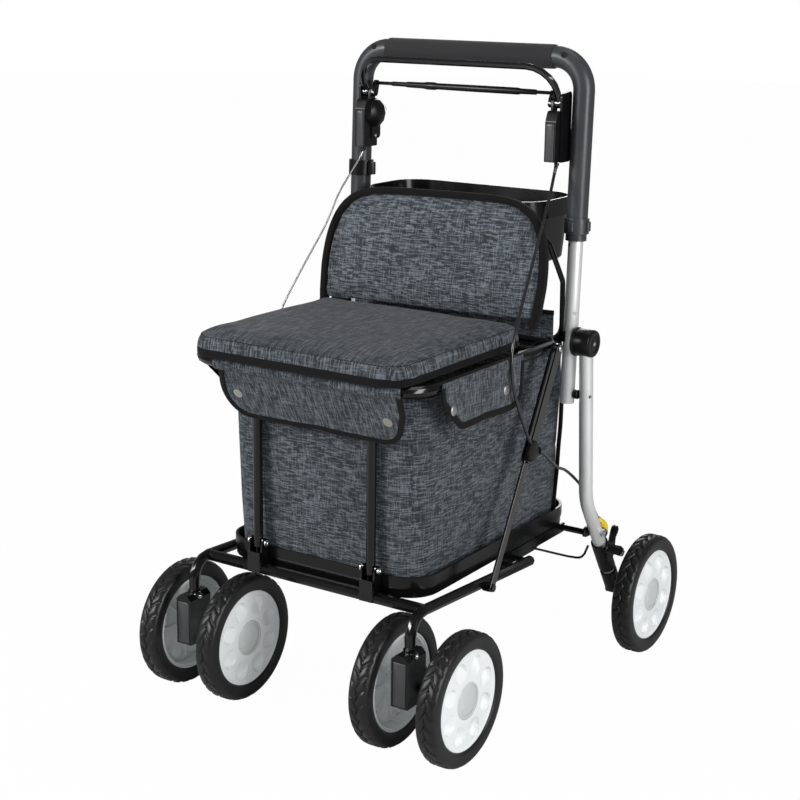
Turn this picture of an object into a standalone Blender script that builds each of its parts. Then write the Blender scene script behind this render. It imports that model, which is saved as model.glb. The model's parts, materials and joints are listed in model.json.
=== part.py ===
"""Shopping rollator with a padded seat, a bag on a tray and a bin behind the backrest.

Metres, +Z up. The front faces -Y and the origin is on the floor below the middle of the frame.
The right side is modelled at +X, and the left side is its mirror image.
"""

from math import atan2, cos, hypot, pi, radians, sin, tan

import bmesh
import bpy
from mathutils import Matrix, Vector

# Clearances and mesh settings
GAP = 0.0003
WELD = 0.00001
ROUND = 10
FINE = 14

# Wheels
WHEEL_RADIUS = 0.090
TYRE_WIDTH = 0.0305
TYRE_SHOULDER = 0.0065
TYRE_BORE = 0.068
TYRE_STEPS = 28
DISC_STEPS = 18
DISC_WIDTH = 0.025
DISC_LIP = 0.004
DISC_DISH = 0.0025
WEB_THICKNESS = 0.0055
HUB_RADIUS = 0.0138
CAP_RADIUS = 0.025
SCOOP_COUNT = 8
SCOOP_CIRCLE = 0.0465
SCOOP_LENGTH = 0.0235
SCOOP_WIDTH = 0.0215
SCOOP_DEPTH = 0.0035
AXLE_RADIUS = 0.0045
AXLE_DEPTH = 0.0175
SPACER_RADIUS = 0.007

# Casters: a swivel stem in front of a pair of wheels
CASTER_X = 0.179
CASTER_Y = -0.282
CASTER_TRAIL = 0.042
TWIN_SPREAD = 0.1028
SWIVEL_TOP = 0.1612
SWIVEL_LENGTH = 0.0412
SWIVEL_RADIUS = 0.0095
SWIVEL_PIN_RADIUS = 0.0045
SWIVEL_PIN_LENGTH = 0.031
FORK_WIDTH = 0.0204
FORK_WALL = 0.0032
FORK_HEAD_Z = 0.1415
FORK_HEAD_RADIUS = 0.012
FORK_FOOT_RADIUS = 0.0115
COVER_WALL = 0.0022
COVER_FOOT = 0.0885
COVER_TOP = 0.160
COVER_FRONT = -0.3065
COVER_REAR = -0.264
COVER_GABLE = 0.006

# Base frame
RAIL_X = 0.182
RAIL_RADIUS = 0.0075
RAIL_REAR_Y = 0.024
RAIL_REAR_Z = 0.1895
RAIL_FRONT_Z = 0.206
STEM_BEND = 0.028
RAIL_BOLT_RADIUS = 0.0042
CROSSBAR_Y = -0.250
CROSSBAR_Z = 0.2038
CROSSBAR_RADIUS = 0.008
HINGE_X = 0.093
HINGE_SPACE = 0.018
HINGE_EAR = 0.0025
HINGE_EAR_HEAD = 0.0085
HINGE_PIN_RADIUS = 0.003
HINGE_PLATE_TOP = 0.228
NUT_RADIUS = 0.0050
NUT_HEIGHT = 0.0030
POST_Y = -0.247
POST_FOOT_Z = 0.240
POST_TOP_Z = 0.478
POST_RADIUS = 0.0065
POST_END = 0.006
SIDE_PLATE_X = 0.1618
SIDE_PLATE_WALL = 0.003
SIDE_PLATE_FRONT = -0.035
SIDE_PLATE_REAR = 0.070
SIDE_PLATE_FOOT = 0.187
LUG_RADIUS = 0.0072
SPACER_BOLT_RADIUS = 0.0045
WIRE_RADIUS = 0.0018

# Tray and bag
TRAY_HALF_WIDTH = 0.164
TRAY_FRONT = -0.2385
TRAY_REAR = 0.185
TRAY_BOTTOM = 0.2050
TRAY_HEIGHT = 0.0285
TRAY_WALL = 0.003
TRAY_FLOOR = 0.0025
TRAY_CORNER = 0.045
BAG_HALF_WIDTH = 0.155
BAG_FRONT = -0.2375
BAG_REAR = 0.158
BAG_TOP = 0.480
BAG_CORNER = 0.040
BAG_WALL = 0.0022
BAG_TAPER = 0.006

# Legs, each bent towards the rear axle, and the crossbar on which they fold
PIVOT_Y = 0.1585
PIVOT_Z = 0.1975
CROSS_ROD_RADIUS = 0.005
CROSS_TAB_WALL = 0.0026
CROSS_TAB_Y = 0.1706
LEG_X = 0.212
LEG_RADIUS = 0.010
LEG_TOP_Z = 0.489
LEG_TOP_Y = 0.1128
LEG_BEND_Z = 0.2558
LEG_BEND_Y = 0.1323
LEG_BEND = 0.080
LEG_END = 0.030
LEG_BOLT_RISE = 0.132
LEG_BOLT_RADIUS = 0.0042
LEG_BOLT_X = 0.2275
REAR_WHEEL_X = 0.265
REAR_AXLE_Y = 0.240
SOCKET_RADIUS = 0.0128
SOCKET_FOOT = 0.0025
SOCKET_TOP = 0.0405
AXLE_BOSS_RADIUS = 0.011
AXLE_BOSS_INNER_X = 0.203
AXLE_BOSS_OUTER_X = 0.233

# Rear brakes
MOUNT_FOOT = 0.047
MOUNT_TOP = 0.105
MOUNT_PLATE_X = 0.224
MOUNT_PLATE_WALL = 0.003
MOUNT_PLATE_RISE = 0.080
BRAKE_PIVOT_Y = 0.2055
BRAKE_PIVOT_Z = 0.192
BRAKE_PIN_RADIUS = 0.003
ARM_X = 0.2276
ARM_WALL = 0.0028
SHOE_GAP = 0.0045
SHOE_THICKNESS = 0.0045
SHOE_SPREAD = radians(11)
SHOE_TURN = radians(125.4)
SHOE_OUTER_X = 0.2715
FERRULE_RADIUS = 0.004
FERRULE_X = 0.212
FERRULE_Y = 0.1918
FERRULE_TOP = 0.216
FERRULE_FOOT = 0.199
FERRULE_TAB_WALL = 0.009

# Uprights, which lean back a little, and the knobs that join them to the legs
UPRIGHT_X = 0.184
UPRIGHT_RADIUS = 0.0105
UPRIGHT_WALL = 0.0015
UPRIGHT_FOOT_Z = 0.403
UPRIGHT_FOOT_Y = 0.1145
UPRIGHT_LEAN = 0.033
UPRIGHT_TOP_Z = 0.760
HOLE_RADIUS = 0.0035
HOLE_TOP_Z = 0.620
HOLE_PITCH = 0.025
HOLE_COUNT = 3
KNOB_Y = 0.114
KNOB_Z = 0.494
KNOB_RADIUS = 0.0195
KNOB_OUTER_X = 0.2235
SPACER_Z = 0.417
SPACER_RADIUS_LOW = 0.006
WEB_HALF = 0.003
BRACKET_RING_RADIUS = 0.0128
BRACKET_RING_Z = 0.4925
BRACKET_RING_HEIGHT = 0.015
BRACKET_RING_SHARE = 0.003

# Seat frame and its two hinges
SEAT_X = 0.182
SEAT_Z = 0.4955
SEAT_TUBE_RADIUS = 0.0075
SEAT_FRONT = -0.285
SEAT_TUBE_REAR = 0.066
SEAT_CORNER = 0.050
CROSS_TUBE_Y = 0.012
CROSS_TUBE_Z = 0.497
CROSS_TUBE_RADIUS = 0.006
SEAT_PIVOT_Y = 0.085
SEAT_PIVOT_Z = 0.480
PIVOT_PLATE = 0.0028
PIVOT_PLATE_RADIUS = 0.009
EAR_INNER_X = 0.1724
RIVET_RADIUS = 0.005
RIVET_HEIGHT = 0.0018

# Struts: a bar folds up between the two strips of a fork
STRUT_FOOT_Y = -0.1088
STRUT_FOOT_Z = 0.1937
STRUT_TOP_Y = 0.054
STRUT_KNEE = 0.56
STRUT_X = 0.1965
STRUT_THICKNESS = 0.010
STRIP_WALL = 0.0022
STRIP_WIDTH = 0.016
BAR_WALL = 0.004
BAR_WIDTH = 0.013
STRUT_LAP = 0.008
STRUT_BUSH_RADIUS = 0.0065
STRUT_PIN_RADIUS = 0.0035

# Handle
BAR_Z = 0.886
HANDLE_SIDE = 0.2357
HANDLE_RADIUS = 0.015
HANDLE_CORNER = 0.045
HANDLE_BORE_TOP = 0.845
GRIP_RADIUS = 0.0168
COLLAR_RADIUS = 0.0175
COLLAR_LAP = 0.0177
COLLAR_DROP = 0.0043
COLLAR_SKIRT = 0.0148
COLLAR_SKIRT_HEIGHT = 0.010
COLLAR_LUG_SHARE = 0.32
LEVER_Y = 0.104
LEVER_Z = 0.8245
LEVER_PIN_RADIUS = 0.0025
EYE_RADIUS = 0.0065
EYE_X = 0.1605
EYE_WIDTH = 0.0096
BRAKE_BAR_Y = 0.0764
BRAKE_BAR_Z = 0.8745
BRAKE_BAR_RADIUS = 0.0048
BRAKE_BAR_BEND = 0.040
PARK_Y = 0.109
PARK_Z = 0.838
PARK_RADIUS = 0.0025
PARK_SLEEVE = 0.0035
PARK_SLEEVE_LEFT = -0.090
PARK_SLEEVE_RIGHT = 0.110
PARK_EYE_X = 0.147
PARK_EYE_WIDTH = 0.005
PARK_EYE_RADIUS = 0.006
HOUSING_INNER_X = 0.150
HOUSING_CHEEK = 0.0035
HOUSING_FRONT = 0.083
HOUSING_REAR = 0.1165
HOUSING_FOOT = 0.746
HOUSING_TOP = 0.8155
HOUSING_PLATE = 0.0032
HOUSING_PLATE_FRONT = 0.095
HOUSING_PLATE_REAR = 0.124
HOUSING_PLATE_TOP = 0.842
DOME_Y = 0.110
DOME_Z = 0.794
DOME_RADIUS = 0.022
DOME_HEIGHT = 0.014
DOME_PLATE_FOOT = 0.757
CLAMP_Z = 0.700
CLAMP_HEIGHT = 0.022
CLAMP_RADIUS = 0.0185
CLAMP_LOBE = 0.006
CLAMP_LOBE_X = 0.1615
CLAMP_LOBE_Y = 0.120

# Seat, backrest, bin and flaps
BOARD_THICKNESS = 0.003
BOARD_HALF_WIDTH = 0.165
BOARD_FRONT = -0.283
BOARD_CORNER = 0.030
CUSHION_HALF_WIDTH = 0.1715
CUSHION_FRONT = -0.305
CUSHION_REAR = 0.0095
CUSHION_CORNER = 0.035
CUSHION_REAR_CORNER = 0.014
CUSHION_HEIGHT = 0.0334
CUSHION_CROWN = 0.010
PIPING = 0.003
LID_Y = 0.010
LID_Z = 0.541
BACK_FOOT_Y = 0.0253
BACK_FOOT_Z = 0.527
BACK_LEAN = radians(13)
BACK_HEIGHT = 0.172
BACK_HALF_WIDTH = 0.170
BACK_MIDDLE_HALF_WIDTH = 0.1655
BACK_TOP_HALF_WIDTH = 0.1645
BACK_CORNER = 0.050
BACK_THICKNESS = 0.0125
BACK_CROWN = 0.006
BOW_RADIUS = 0.004
BOW_X = 0.1645
BOW_REAR_Y = 0.128
BOW_SHOULDER_X = 0.162
BOW_SHOULDER_Y = 0.130
BOW_SHOULDER_Z = 0.574
BOW_NECK_X = 0.1505
BOW_NECK_Y = 0.107
BOW_NECK_Z = 0.630
BOW_TOP_X = 0.140
BOW_TOP_Z = 0.665
BOW_BEND = 0.016
BIN_HALF_WIDTH = 0.1475
BIN_REAR = 0.205
BIN_RIM = 0.690
BIN_BAND = 0.025
BIN_FOOT = 0.600
BIN_CORNER = 0.045
BIN_WALL = 0.0025
BIN_STEP = 0.003
BIN_TAPER = 0.008
FLAP_WALL = 0.0012
FLAP_DROP = 0.080
FLAP_RISE = 0.010
FLAP_TOP_HALF = 0.145
FLAP_FOOT_HALF = 0.103
FLAP_TILT = radians(27.5)
SIDE_FLAP_TOP = 0.502
SIDE_FLAP_DROP = 0.068
SIDE_FLAP_FRONT = -0.236
SIDE_FLAP_REAR = -0.030
SIDE_FLAP_WALL = 0.001

# Brake cables
CABLE_RADIUS = 0.0022
CABLE_POINTS = 50
CABLE_START_X = 0.1615

HANDLE_FOOT_Z = BAR_Z - HANDLE_SIDE
LEG_RUN = hypot(REAR_AXLE_Y - LEG_BEND_Y, LEG_BEND_Z - WHEEL_RADIUS)
LEG_UP = Vector((0, LEG_BEND_Y - REAR_AXLE_Y, LEG_BEND_Z - WHEEL_RADIUS)) / LEG_RUN
SEAT_TOP = SEAT_Z + SEAT_TUBE_RADIUS
BOARD_TOP = SEAT_TOP + GAP + BOARD_THICKNESS
STRUT_INNER = STRUT_X - STRUT_THICKNESS / 2
STRUT_OUTER = STRUT_X + STRUT_THICKNESS / 2
HOUSING_PLATE_X = UPRIGHT_X - HANDLE_RADIUS - GAP - HOUSING_PLATE / 2
EAR_X = EAR_INNER_X + PIVOT_PLATE / 2
BRACKET_X = EAR_X - PIVOT_PLATE - GAP
BACK_UP = Vector((0, sin(BACK_LEAN), cos(BACK_LEAN)))
BACK_OUT = Vector((0, -cos(BACK_LEAN), sin(BACK_LEAN)))


def clear_scene():
    for piece in list(bpy.data.objects):
        bpy.data.objects.remove(piece)


def new_collection(name):
    collection = bpy.data.collections.new(name)
    bpy.context.scene.collection.children.link(collection)
    return collection


def new_object(name, data):
    piece = bpy.data.objects.new(name, data)
    PARTS.objects.link(piece)
    return piece


def finish(name, colour, roughness, metallic=0.0):
    """A Principled BSDF material with the given base colour."""
    material = bpy.data.materials.new(name)
    material.use_nodes = True
    shader = material.node_tree.nodes["Principled BSDF"]
    shader.inputs["Base Color"].default_value = (*colour, 1.0)
    shader.inputs["Roughness"].default_value = roughness
    shader.inputs["Metallic"].default_value = metallic
    return material


def around(radius, sides):
    """The radius of a bore of so many sides that clears a round pin by the gap."""
    return (radius + GAP) / cos(pi / sides)


def rail_height(y):
    """The height of a side rail's axis at this place along it."""
    share = (RAIL_REAR_Y - y) / (RAIL_REAR_Y - CASTER_Y)
    return RAIL_REAR_Z + share * (RAIL_FRONT_Z - RAIL_REAR_Z)


def upright(z):
    """The point of the right upright's axis at this height."""
    return Vector((UPRIGHT_X, UPRIGHT_FOOT_Y + UPRIGHT_LEAN * (z - UPRIGHT_FOOT_Z), z))


def up_leg(rise, x=LEG_X):
    """A point on the line of the lower leg, this far up from the rear axle."""
    return Vector((x, REAR_AXLE_Y, WHEEL_RADIUS)) + LEG_UP * rise


def baked(piece):
    """The evaluated piece as one welded mesh in world coordinates, faces pointing out."""
    bpy.context.view_layer.update()
    graph = bpy.context.evaluated_depsgraph_get()
    mesh = bpy.data.meshes.new_from_object(piece.evaluated_get(graph))
    mesh.transform(piece.matrix_world)
    shape = bmesh.new()
    shape.from_mesh(mesh)
    bmesh.ops.remove_doubles(shape, verts=shape.verts, dist=WELD)
    bmesh.ops.recalc_face_normals(shape, faces=shape.faces)
    shape.to_mesh(mesh)
    shape.free()
    solid = new_object(piece.name, mesh)
    bpy.data.objects.remove(piece)
    return solid


def combine(piece, operation, others):
    """Apply one Boolean for each of the others, which are used up."""
    for other in others:
        modifier = piece.modifiers.new(other.name, "BOOLEAN")
        modifier.operation = operation
        modifier.object = other
        modifier.solver = "EXACT"
    result = baked(piece)
    for other in others:
        bpy.data.objects.remove(other)
    return result


def joined(first, *others):
    return combine(first, "UNION", others)


def cut(piece, *cutters):
    return combine(piece, "DIFFERENCE", cutters)


def from_bmesh(name, shape):
    mesh = bpy.data.meshes.new(name)
    shape.to_mesh(mesh)
    shape.free()
    return new_object(name, mesh)


def cylinder(start, end, radius, sides=ROUND, end_radius=None):
    """A closed cylinder, or a cone with another radius at its end, between two points."""
    start = Vector(start)
    run = Vector(end) - start
    shape = bmesh.new()
    bmesh.ops.create_cone(
        shape,
        cap_ends=True,
        segments=sides,
        radius1=radius,
        radius2=radius if end_radius is None else end_radius,
        depth=run.length,
    )
    turn = Vector((0, 0, 1)).rotation_difference(run).to_matrix().to_4x4()
    bmesh.ops.transform(shape, matrix=Matrix.Translation(start + run / 2) @ turn, verts=shape.verts)
    return from_bmesh("cylinder", shape)


def along_x(x_start, x_end, y, z, radius, sides=ROUND):
    return cylinder((x_start, y, z), (x_end, y, z), radius, sides)


def block(low, high, bevel=0.0):
    """A box between two corners, with its edges rounded by the bevel."""
    low = Vector(low)
    high = Vector(high)
    shape = bmesh.new()
    bmesh.ops.create_cube(shape, size=1.0)
    bmesh.ops.scale(shape, vec=high - low, verts=shape.verts)
    bmesh.ops.translate(shape, vec=(low + high) / 2, verts=shape.verts)
    if bevel:
        bmesh.ops.bevel(
            shape, geom=shape.edges, offset=bevel, segments=1, profile=0.5, affect="EDGES"
        )
    return from_bmesh("block", shape)


def ball(centre, radii, segments=12, rings=6):
    """An ellipsoid with these three radii, its poles along Z."""
    shape = bmesh.new()
    bmesh.ops.create_uvsphere(shape, u_segments=segments, v_segments=rings, radius=1.0)
    bmesh.ops.scale(shape, vec=Vector(radii), verts=shape.verts)
    bmesh.ops.translate(shape, vec=Vector(centre), verts=shape.verts)
    return from_bmesh("ball", shape)


def arc(centre, radius, start, end, steps):
    """Points of an arc in a plane, both ends included."""
    turn = (end - start) / steps
    return [
        (centre[0] + radius * cos(start + turn * i), centre[1] + radius * sin(start + turn * i))
        for i in range(steps + 1)
    ]


def link_outline(first, second, first_radius, second_radius, steps=4):
    """The outline round two circles, with straight sides between them."""
    away = atan2(second[1] - first[1], second[0] - first[0])
    spread = pi / 2
    far = arc(second, second_radius, away - spread, away + spread, steps)
    near = arc(first, first_radius, away + spread, away + 3 * spread, steps)
    return far + near


def rounded_outline(corners, steps=4):
    """A closed outline from corners (u, v, radius), each rounded by its radius."""
    points = []
    for i, (u, v, radius) in enumerate(corners):
        corner = Vector((u, v))
        before = Vector(corners[i - 1][:2]) - corner
        after = Vector(corners[(i + 1) % len(corners)][:2]) - corner
        if radius <= 0:
            points.append((u, v))
            continue
        half = before.angle(after) / 2
        start = corner + before.normalized() * (radius / tan(half))
        end = corner + after.normalized() * (radius / tan(half))
        centre = corner + (before.normalized() + after.normalized()).normalized() * (
            radius / sin(half)
        )
        first = atan2(start.y - centre.y, start.x - centre.x)
        turn = atan2(end.y - centre.y, end.x - centre.x) - first
        turn = (turn + pi) % (2 * pi) - pi
        points += arc(centre, radius, first, first + turn, steps)
    return points


def rounded_rectangle(half_width, front, rear, front_radius, rear_radius, steps=6):
    corners = [
        (-half_width, front, front_radius),
        (half_width, front, front_radius),
        (half_width, rear, rear_radius),
        (-half_width, rear, rear_radius),
    ]
    return rounded_outline(corners, steps)


def rounded_route(corners, radius, steps=5):
    """A route through 3-D corners, each inner one turned into an arc of this radius."""
    corners = [Vector(corner) for corner in corners]
    route = [corners[0]]
    for i in range(1, len(corners) - 1):
        before = (corners[i - 1] - corners[i]).normalized()
        after = (corners[i + 1] - corners[i]).normalized()
        half = before.angle(after) / 2
        centre = corners[i] + (before + after).normalized() * (radius / sin(half))
        start = corners[i] + before * (radius / tan(half)) - centre
        end = corners[i] + after * (radius / tan(half)) - centre
        turn = start.angle(end)
        for step in range(steps + 1):
            near = sin(turn * (1 - step / steps)) / sin(turn)
            far = sin(turn * step / steps) / sin(turn)
            route.append(centre + start * near + end * far)
    return route + [corners[-1]]


def smooth_route(points, count):
    """A smooth curve through the points, read at even steps of its parameter."""
    points = [Vector(point) for point in points]
    padded = [2 * points[0] - points[1], *points, 2 * points[-1] - points[-2]]
    route = []
    spans = len(points) - 1
    for i in range(count):
        along = spans * i / (count - 1)
        span = min(int(along), spans - 1)
        t = along - span
        a, b, c, d = padded[span : span + 4]
        route.append(
            0.5
            * (
                2 * b
                + (c - a) * t
                + (2 * a - 5 * b + 4 * c - d) * t**2
                + (3 * b - a - 3 * c + d) * t**3
            )
        )
    return route


def tube(route, radius, sides=ROUND):
    """A round tube along a route, as a bevelled curve with filled caps."""
    curve = bpy.data.curves.new("tube", "CURVE")
    curve.dimensions = "3D"
    curve.bevel_depth = radius
    curve.bevel_resolution = (sides - 4) // 2
    curve.use_fill_caps = True
    spline = curve.splines.new("POLY")
    spline.points.add(len(route) - 1)
    for point, spot in zip(spline.points, route):
        point.co = (*spot, 1.0)
    return baked(new_object("tube", curve))


def flat(outline, thickness, frame):
    """A flat outline given a thickness, set into the world by a matrix."""
    curve = bpy.data.curves.new("flat", "CURVE")
    curve.dimensions = "2D"
    curve.fill_mode = "BOTH"
    curve.extrude = thickness / 2
    spline = curve.splines.new("POLY")
    spline.points.add(len(outline) - 1)
    for point, spot in zip(spline.points, outline):
        point.co = (*spot, 0.0, 1.0)
    spline.use_cyclic_u = True
    piece = new_object("flat", curve)
    piece.matrix_world = frame
    return baked(piece)


def side_plate(outline, x, thickness):
    """A plate whose outline is given in Y and Z, centred on this X."""
    frame = Matrix(((0, 0, 1, x), (1, 0, 0, 0), (0, 1, 0, 0), (0, 0, 0, 1)))
    return flat(outline, thickness, frame)


def turned(profile, steps, frame):
    """A profile of (radius, height) turned round the frame's Z axis by a Screw modifier."""
    mesh = bpy.data.meshes.new("turned")
    count = len(profile)
    closed = profile[0][0] > 0 and profile[-1][0] > 0
    edges = [(i, i + 1) for i in range(count - 1)] + ([(count - 1, 0)] if closed else [])
    mesh.from_pydata([(radius, 0, height) for radius, height in profile], edges, [])
    piece = new_object("turned", mesh)
    screw = piece.modifiers.new("turn", "SCREW")
    screw.axis = "Z"
    screw.steps = steps
    screw.render_steps = steps
    screw.use_merge_vertices = True
    screw.merge_threshold = 0.00005
    piece.matrix_world = frame
    return baked(piece)


def moulded(outline, levels, frame=None):
    """An outline raised level by level; a level is (inset, height), and both ends are closed."""
    centre = Vector(
        (
            (min(u for u, _ in outline) + max(u for u, _ in outline)) / 2,
            (min(v for _, v in outline) + max(v for _, v in outline)) / 2,
            0,
        )
    )
    half_u = max(u for u, _ in outline) - centre.x
    half_v = max(v for _, v in outline) - centre.y
    inset, height = levels[0]
    shape = bmesh.new()
    ring = [
        shape.verts.new(
            (
                centre.x + (u - centre.x) * (1 - inset / half_u),
                centre.y + (v - centre.y) * (1 - inset / half_v),
                height,
            )
        )
        for u, v in outline
    ]
    edges = [shape.edges.new((ring[i - 1], ring[i])) for i in range(len(ring))]
    for next_inset, next_height in levels[1:]:
        made = bmesh.ops.extrude_edge_only(shape, edges=edges)["geom"]
        verts = [item for item in made if isinstance(item, bmesh.types.BMVert)]
        edges = [
            item
            for item in made
            if isinstance(item, bmesh.types.BMEdge) and all(end in verts for end in item.verts)
        ]
        scale = (
            (half_u - next_inset) / (half_u - inset),
            (half_v - next_inset) / (half_v - inset),
            1,
        )
        bmesh.ops.scale(shape, vec=scale, space=Matrix.Translation(-centre), verts=verts)
        bmesh.ops.translate(shape, vec=(0, 0, next_height - height), verts=verts)
        inset, height = next_inset, next_height
    bmesh.ops.holes_fill(shape, edges=shape.edges, sides=0)
    piece = from_bmesh("moulded", shape)
    if frame is not None:
        piece.matrix_world = frame
    return baked(piece)


def mirrored(piece):
    """The same piece on the other side of the middle plane."""
    mesh = piece.data.copy()
    mesh.transform(Matrix.Scale(-1, 4, (1, 0, 0)))
    mesh.flip_normals()
    return new_object(piece.name, mesh)


def new_axis(name, spot, parent=None):
    """An empty on a joint's axis, which carries the pieces that move with the joint."""
    axis = new_object(name, None)
    axis.empty_display_size = 0.02
    axis.location = spot
    if parent is not None:
        axis.parent = parent
        axis.location = Vector(spot) - parent.matrix_world.translation
    bpy.context.view_layer.update()
    return axis


def place(piece, name, axis, material):
    """Name a piece, give it its material and carry it by its joint's axis."""
    centre = axis.matrix_world.translation
    piece.name = name
    piece.data.name = name
    piece.data.transform(Matrix.Translation(-centre))
    piece.data.materials.clear()
    piece.data.materials.append(material)
    piece.data.shade_smooth()
    piece.data.set_sharp_from_angle(angle=radians(32))
    piece.parent = axis


def place_pair(piece, name, axes, material):
    """Place a right-hand piece and its mirror image; axes are the right and the left one."""
    other = mirrored(piece)
    place(piece, name + "_right", axes[0], material)
    place(other, name + "_left", axes[1], material)


def x_frame(x, y, z, outward=1):
    """A matrix that turns the Z axis towards +X, or towards -X, at a point."""
    turn = Matrix.Rotation(outward * pi / 2, 4, "Y")
    return Matrix.Translation((x, y, z)) @ turn


def tyre():
    """A tyre about the Z axis, with a flat crown and rounded shoulders."""
    half = TYRE_WIDTH / 2
    bead = DISC_WIDTH / 2
    profile = [
        (TYRE_BORE, bead),
        (TYRE_BORE + 0.006, half),
        (WHEEL_RADIUS - TYRE_SHOULDER, half),
        (WHEEL_RADIUS, half - TYRE_SHOULDER),
        (WHEEL_RADIUS, TYRE_SHOULDER - half),
        (WHEEL_RADIUS - TYRE_SHOULDER, -half),
        (TYRE_BORE + 0.006, -half),
        (TYRE_BORE, -bead),
    ]
    return turned(profile, TYRE_STEPS, Matrix())


def disc():
    """A wheel disc about the Z axis: a rim, a dished web with scoops, a hub and a cap."""
    rim = TYRE_BORE * cos(pi / TYRE_STEPS) - GAP
    half = DISC_WIDTH / 2
    web = half - DISC_DISH
    bore = around(AXLE_RADIUS, DISC_STEPS)
    profile = [
        (0, half),
        (CAP_RADIUS - 0.001, half),
        (CAP_RADIUS, half - 0.001),
        (CAP_RADIUS + 0.0005, web),
        (rim - 2 * DISC_LIP, web),
        (rim - DISC_LIP, half),
        (rim, half),
        (rim, -half),
        (rim - DISC_LIP / 2, -half),
        (rim - DISC_LIP, web - WEB_THICKNESS),
        (HUB_RADIUS, web - WEB_THICKNESS),
        (HUB_RADIUS, GAP - half),
        (bore, GAP - half),
        (bore, AXLE_DEPTH - half + GAP),
        (0, AXLE_DEPTH - half + GAP),
    ]
    body = turned(profile, DISC_STEPS, Matrix())
    scoops = []
    for i in range(SCOOP_COUNT):
        turn = Matrix.Rotation(2 * pi * (i + 0.5) / SCOOP_COUNT, 4, "Z")
        radii = (SCOOP_LENGTH / 2, SCOOP_WIDTH / 2, SCOOP_DEPTH)
        scoop = ball((SCOOP_CIRCLE, 0, web + 0.0006), radii, 8, 4)
        scoop.data.transform(turn)
        scoops.append(scoop)
    return cut(body, *scoops)


def make_wheels():
    """Six wheels, each on an empty at its own centre."""
    tyre_mesh = tyre()
    disc_mesh = disc()
    front_y = CASTER_Y + CASTER_TRAIL
    spread = TWIN_SPREAD / 2
    wheels = []
    for side, sign in (("right", 1), ("left", -1)):
        outer = sign * (CASTER_X + spread)
        inner = sign * (CASTER_X - spread)
        wheels.append((f"front_{side}_outer", (outer, front_y, WHEEL_RADIUS), sign, CASTERS[side]))
        wheels.append((f"front_{side}_inner", (inner, front_y, WHEEL_RADIUS), -sign, CASTERS[side]))
        rear = (sign * REAR_WHEEL_X, REAR_AXLE_Y, WHEEL_RADIUS)
        wheels.append((f"rear_{side}", rear, sign, LEGS))
    for name, centre, outward, carrier in wheels:
        axis = new_axis(f"axis_wheel_{name}", centre, carrier)
        frame = x_frame(*centre, outward)
        for node, source, material in (("tyre", tyre_mesh, TYRE), ("wheel_disc", disc_mesh, DISC)):
            mesh = source.data.copy()
            mesh.transform(frame)
            place(new_object(node, mesh), f"{node}_{name}", axis, material)
    bpy.data.objects.remove(tyre_mesh)
    bpy.data.objects.remove(disc_mesh)


def make_caster_forks():
    """A swivel barrel with two arms down to the shared axle of the twin wheels."""
    axle_y = CASTER_Y + CASTER_TRAIL
    foot = SWIVEL_TOP - SWIVEL_LENGTH
    half = FORK_WIDTH / 2
    barrel = cylinder(
        (CASTER_X, CASTER_Y, foot), (CASTER_X, CASTER_Y, SWIVEL_TOP), SWIVEL_RADIUS, FINE
    )
    outline = link_outline(
        (CASTER_Y, FORK_HEAD_Z), (axle_y, WHEEL_RADIUS), FORK_HEAD_RADIUS, FORK_FOOT_RADIUS
    )
    arms = [
        side_plate(outline, CASTER_X + sign * (half - FORK_WALL / 2), FORK_WALL)
        for sign in (1, -1)
    ]
    hub_end = TWIN_SPREAD / 2 - DISC_WIDTH / 2
    tip = hub_end + AXLE_DEPTH
    axle = along_x(CASTER_X - tip, CASTER_X + tip, axle_y, WHEEL_RADIUS, AXLE_RADIUS)
    spacers = [
        along_x(
            CASTER_X + sign * (half - FORK_WALL),
            CASTER_X + sign * hub_end,
            axle_y,
            WHEEL_RADIUS,
            SPACER_RADIUS,
        )
        for sign in (1, -1)
    ]
    fork = joined(barrel, *arms, *spacers, axle)
    pin_foot = SWIVEL_TOP - SWIVEL_PIN_LENGTH - 2 * GAP
    bore = cylinder(
        (CASTER_X, CASTER_Y, pin_foot),
        (CASTER_X, CASTER_Y, SWIVEL_TOP + 0.01),
        around(SWIVEL_PIN_RADIUS, ROUND),
    )
    fork = cut(fork, bore)
    place_pair(fork, "caster_fork", (CASTERS["right"], CASTERS["left"]), BLACK_STEEL)


def make_caster_covers():
    """A moulded cover in front of the fork, open at its rear and at its foot."""
    half = FORK_WIDTH / 2 + GAP
    outer = half + COVER_WALL
    gable = [
        (-outer, COVER_FOOT, 0),
        (outer, COVER_FOOT, 0),
        (outer, COVER_TOP - COVER_GABLE, 0.002),
        (outer / 2, COVER_TOP, 0.001),
        (-outer / 2, COVER_TOP, 0.001),
        (-outer, COVER_TOP - COVER_GABLE, 0.002),
    ]
    depth = COVER_REAR - COVER_FRONT
    frame = Matrix(
        (
            (1, 0, 0, CASTER_X),
            (0, 0, -1, COVER_FRONT + depth / 2),
            (0, 1, 0, 0),
            (0, 0, 0, 1),
        )
    )
    shell = flat(rounded_outline(gable, 2), depth, frame)
    hollow = block(
        (CASTER_X - half, COVER_FRONT + COVER_WALL, COVER_FOOT - 0.01),
        (CASTER_X + half, COVER_REAR + 0.01, COVER_TOP - COVER_GABLE),
    )
    hole = cylinder(
        (CASTER_X, CASTER_Y, COVER_TOP - 0.02),
        (CASTER_X, CASTER_Y, COVER_TOP + 0.01),
        around(SWIVEL_RADIUS, FINE),
        FINE,
    )
    cover = cut(shell, hollow, hole)
    place_pair(cover, "caster_cover", (CASTERS["right"], CASTERS["left"]), BLACK_PLASTIC)


def hinge_ears(outline):
    """The two ears of a post's hinge, one on each side of the right post."""
    middle = (HINGE_SPACE + HINGE_EAR) / 2
    return [side_plate(outline, HINGE_X + side * middle, HINGE_EAR) for side in (-1, 1)]


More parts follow.
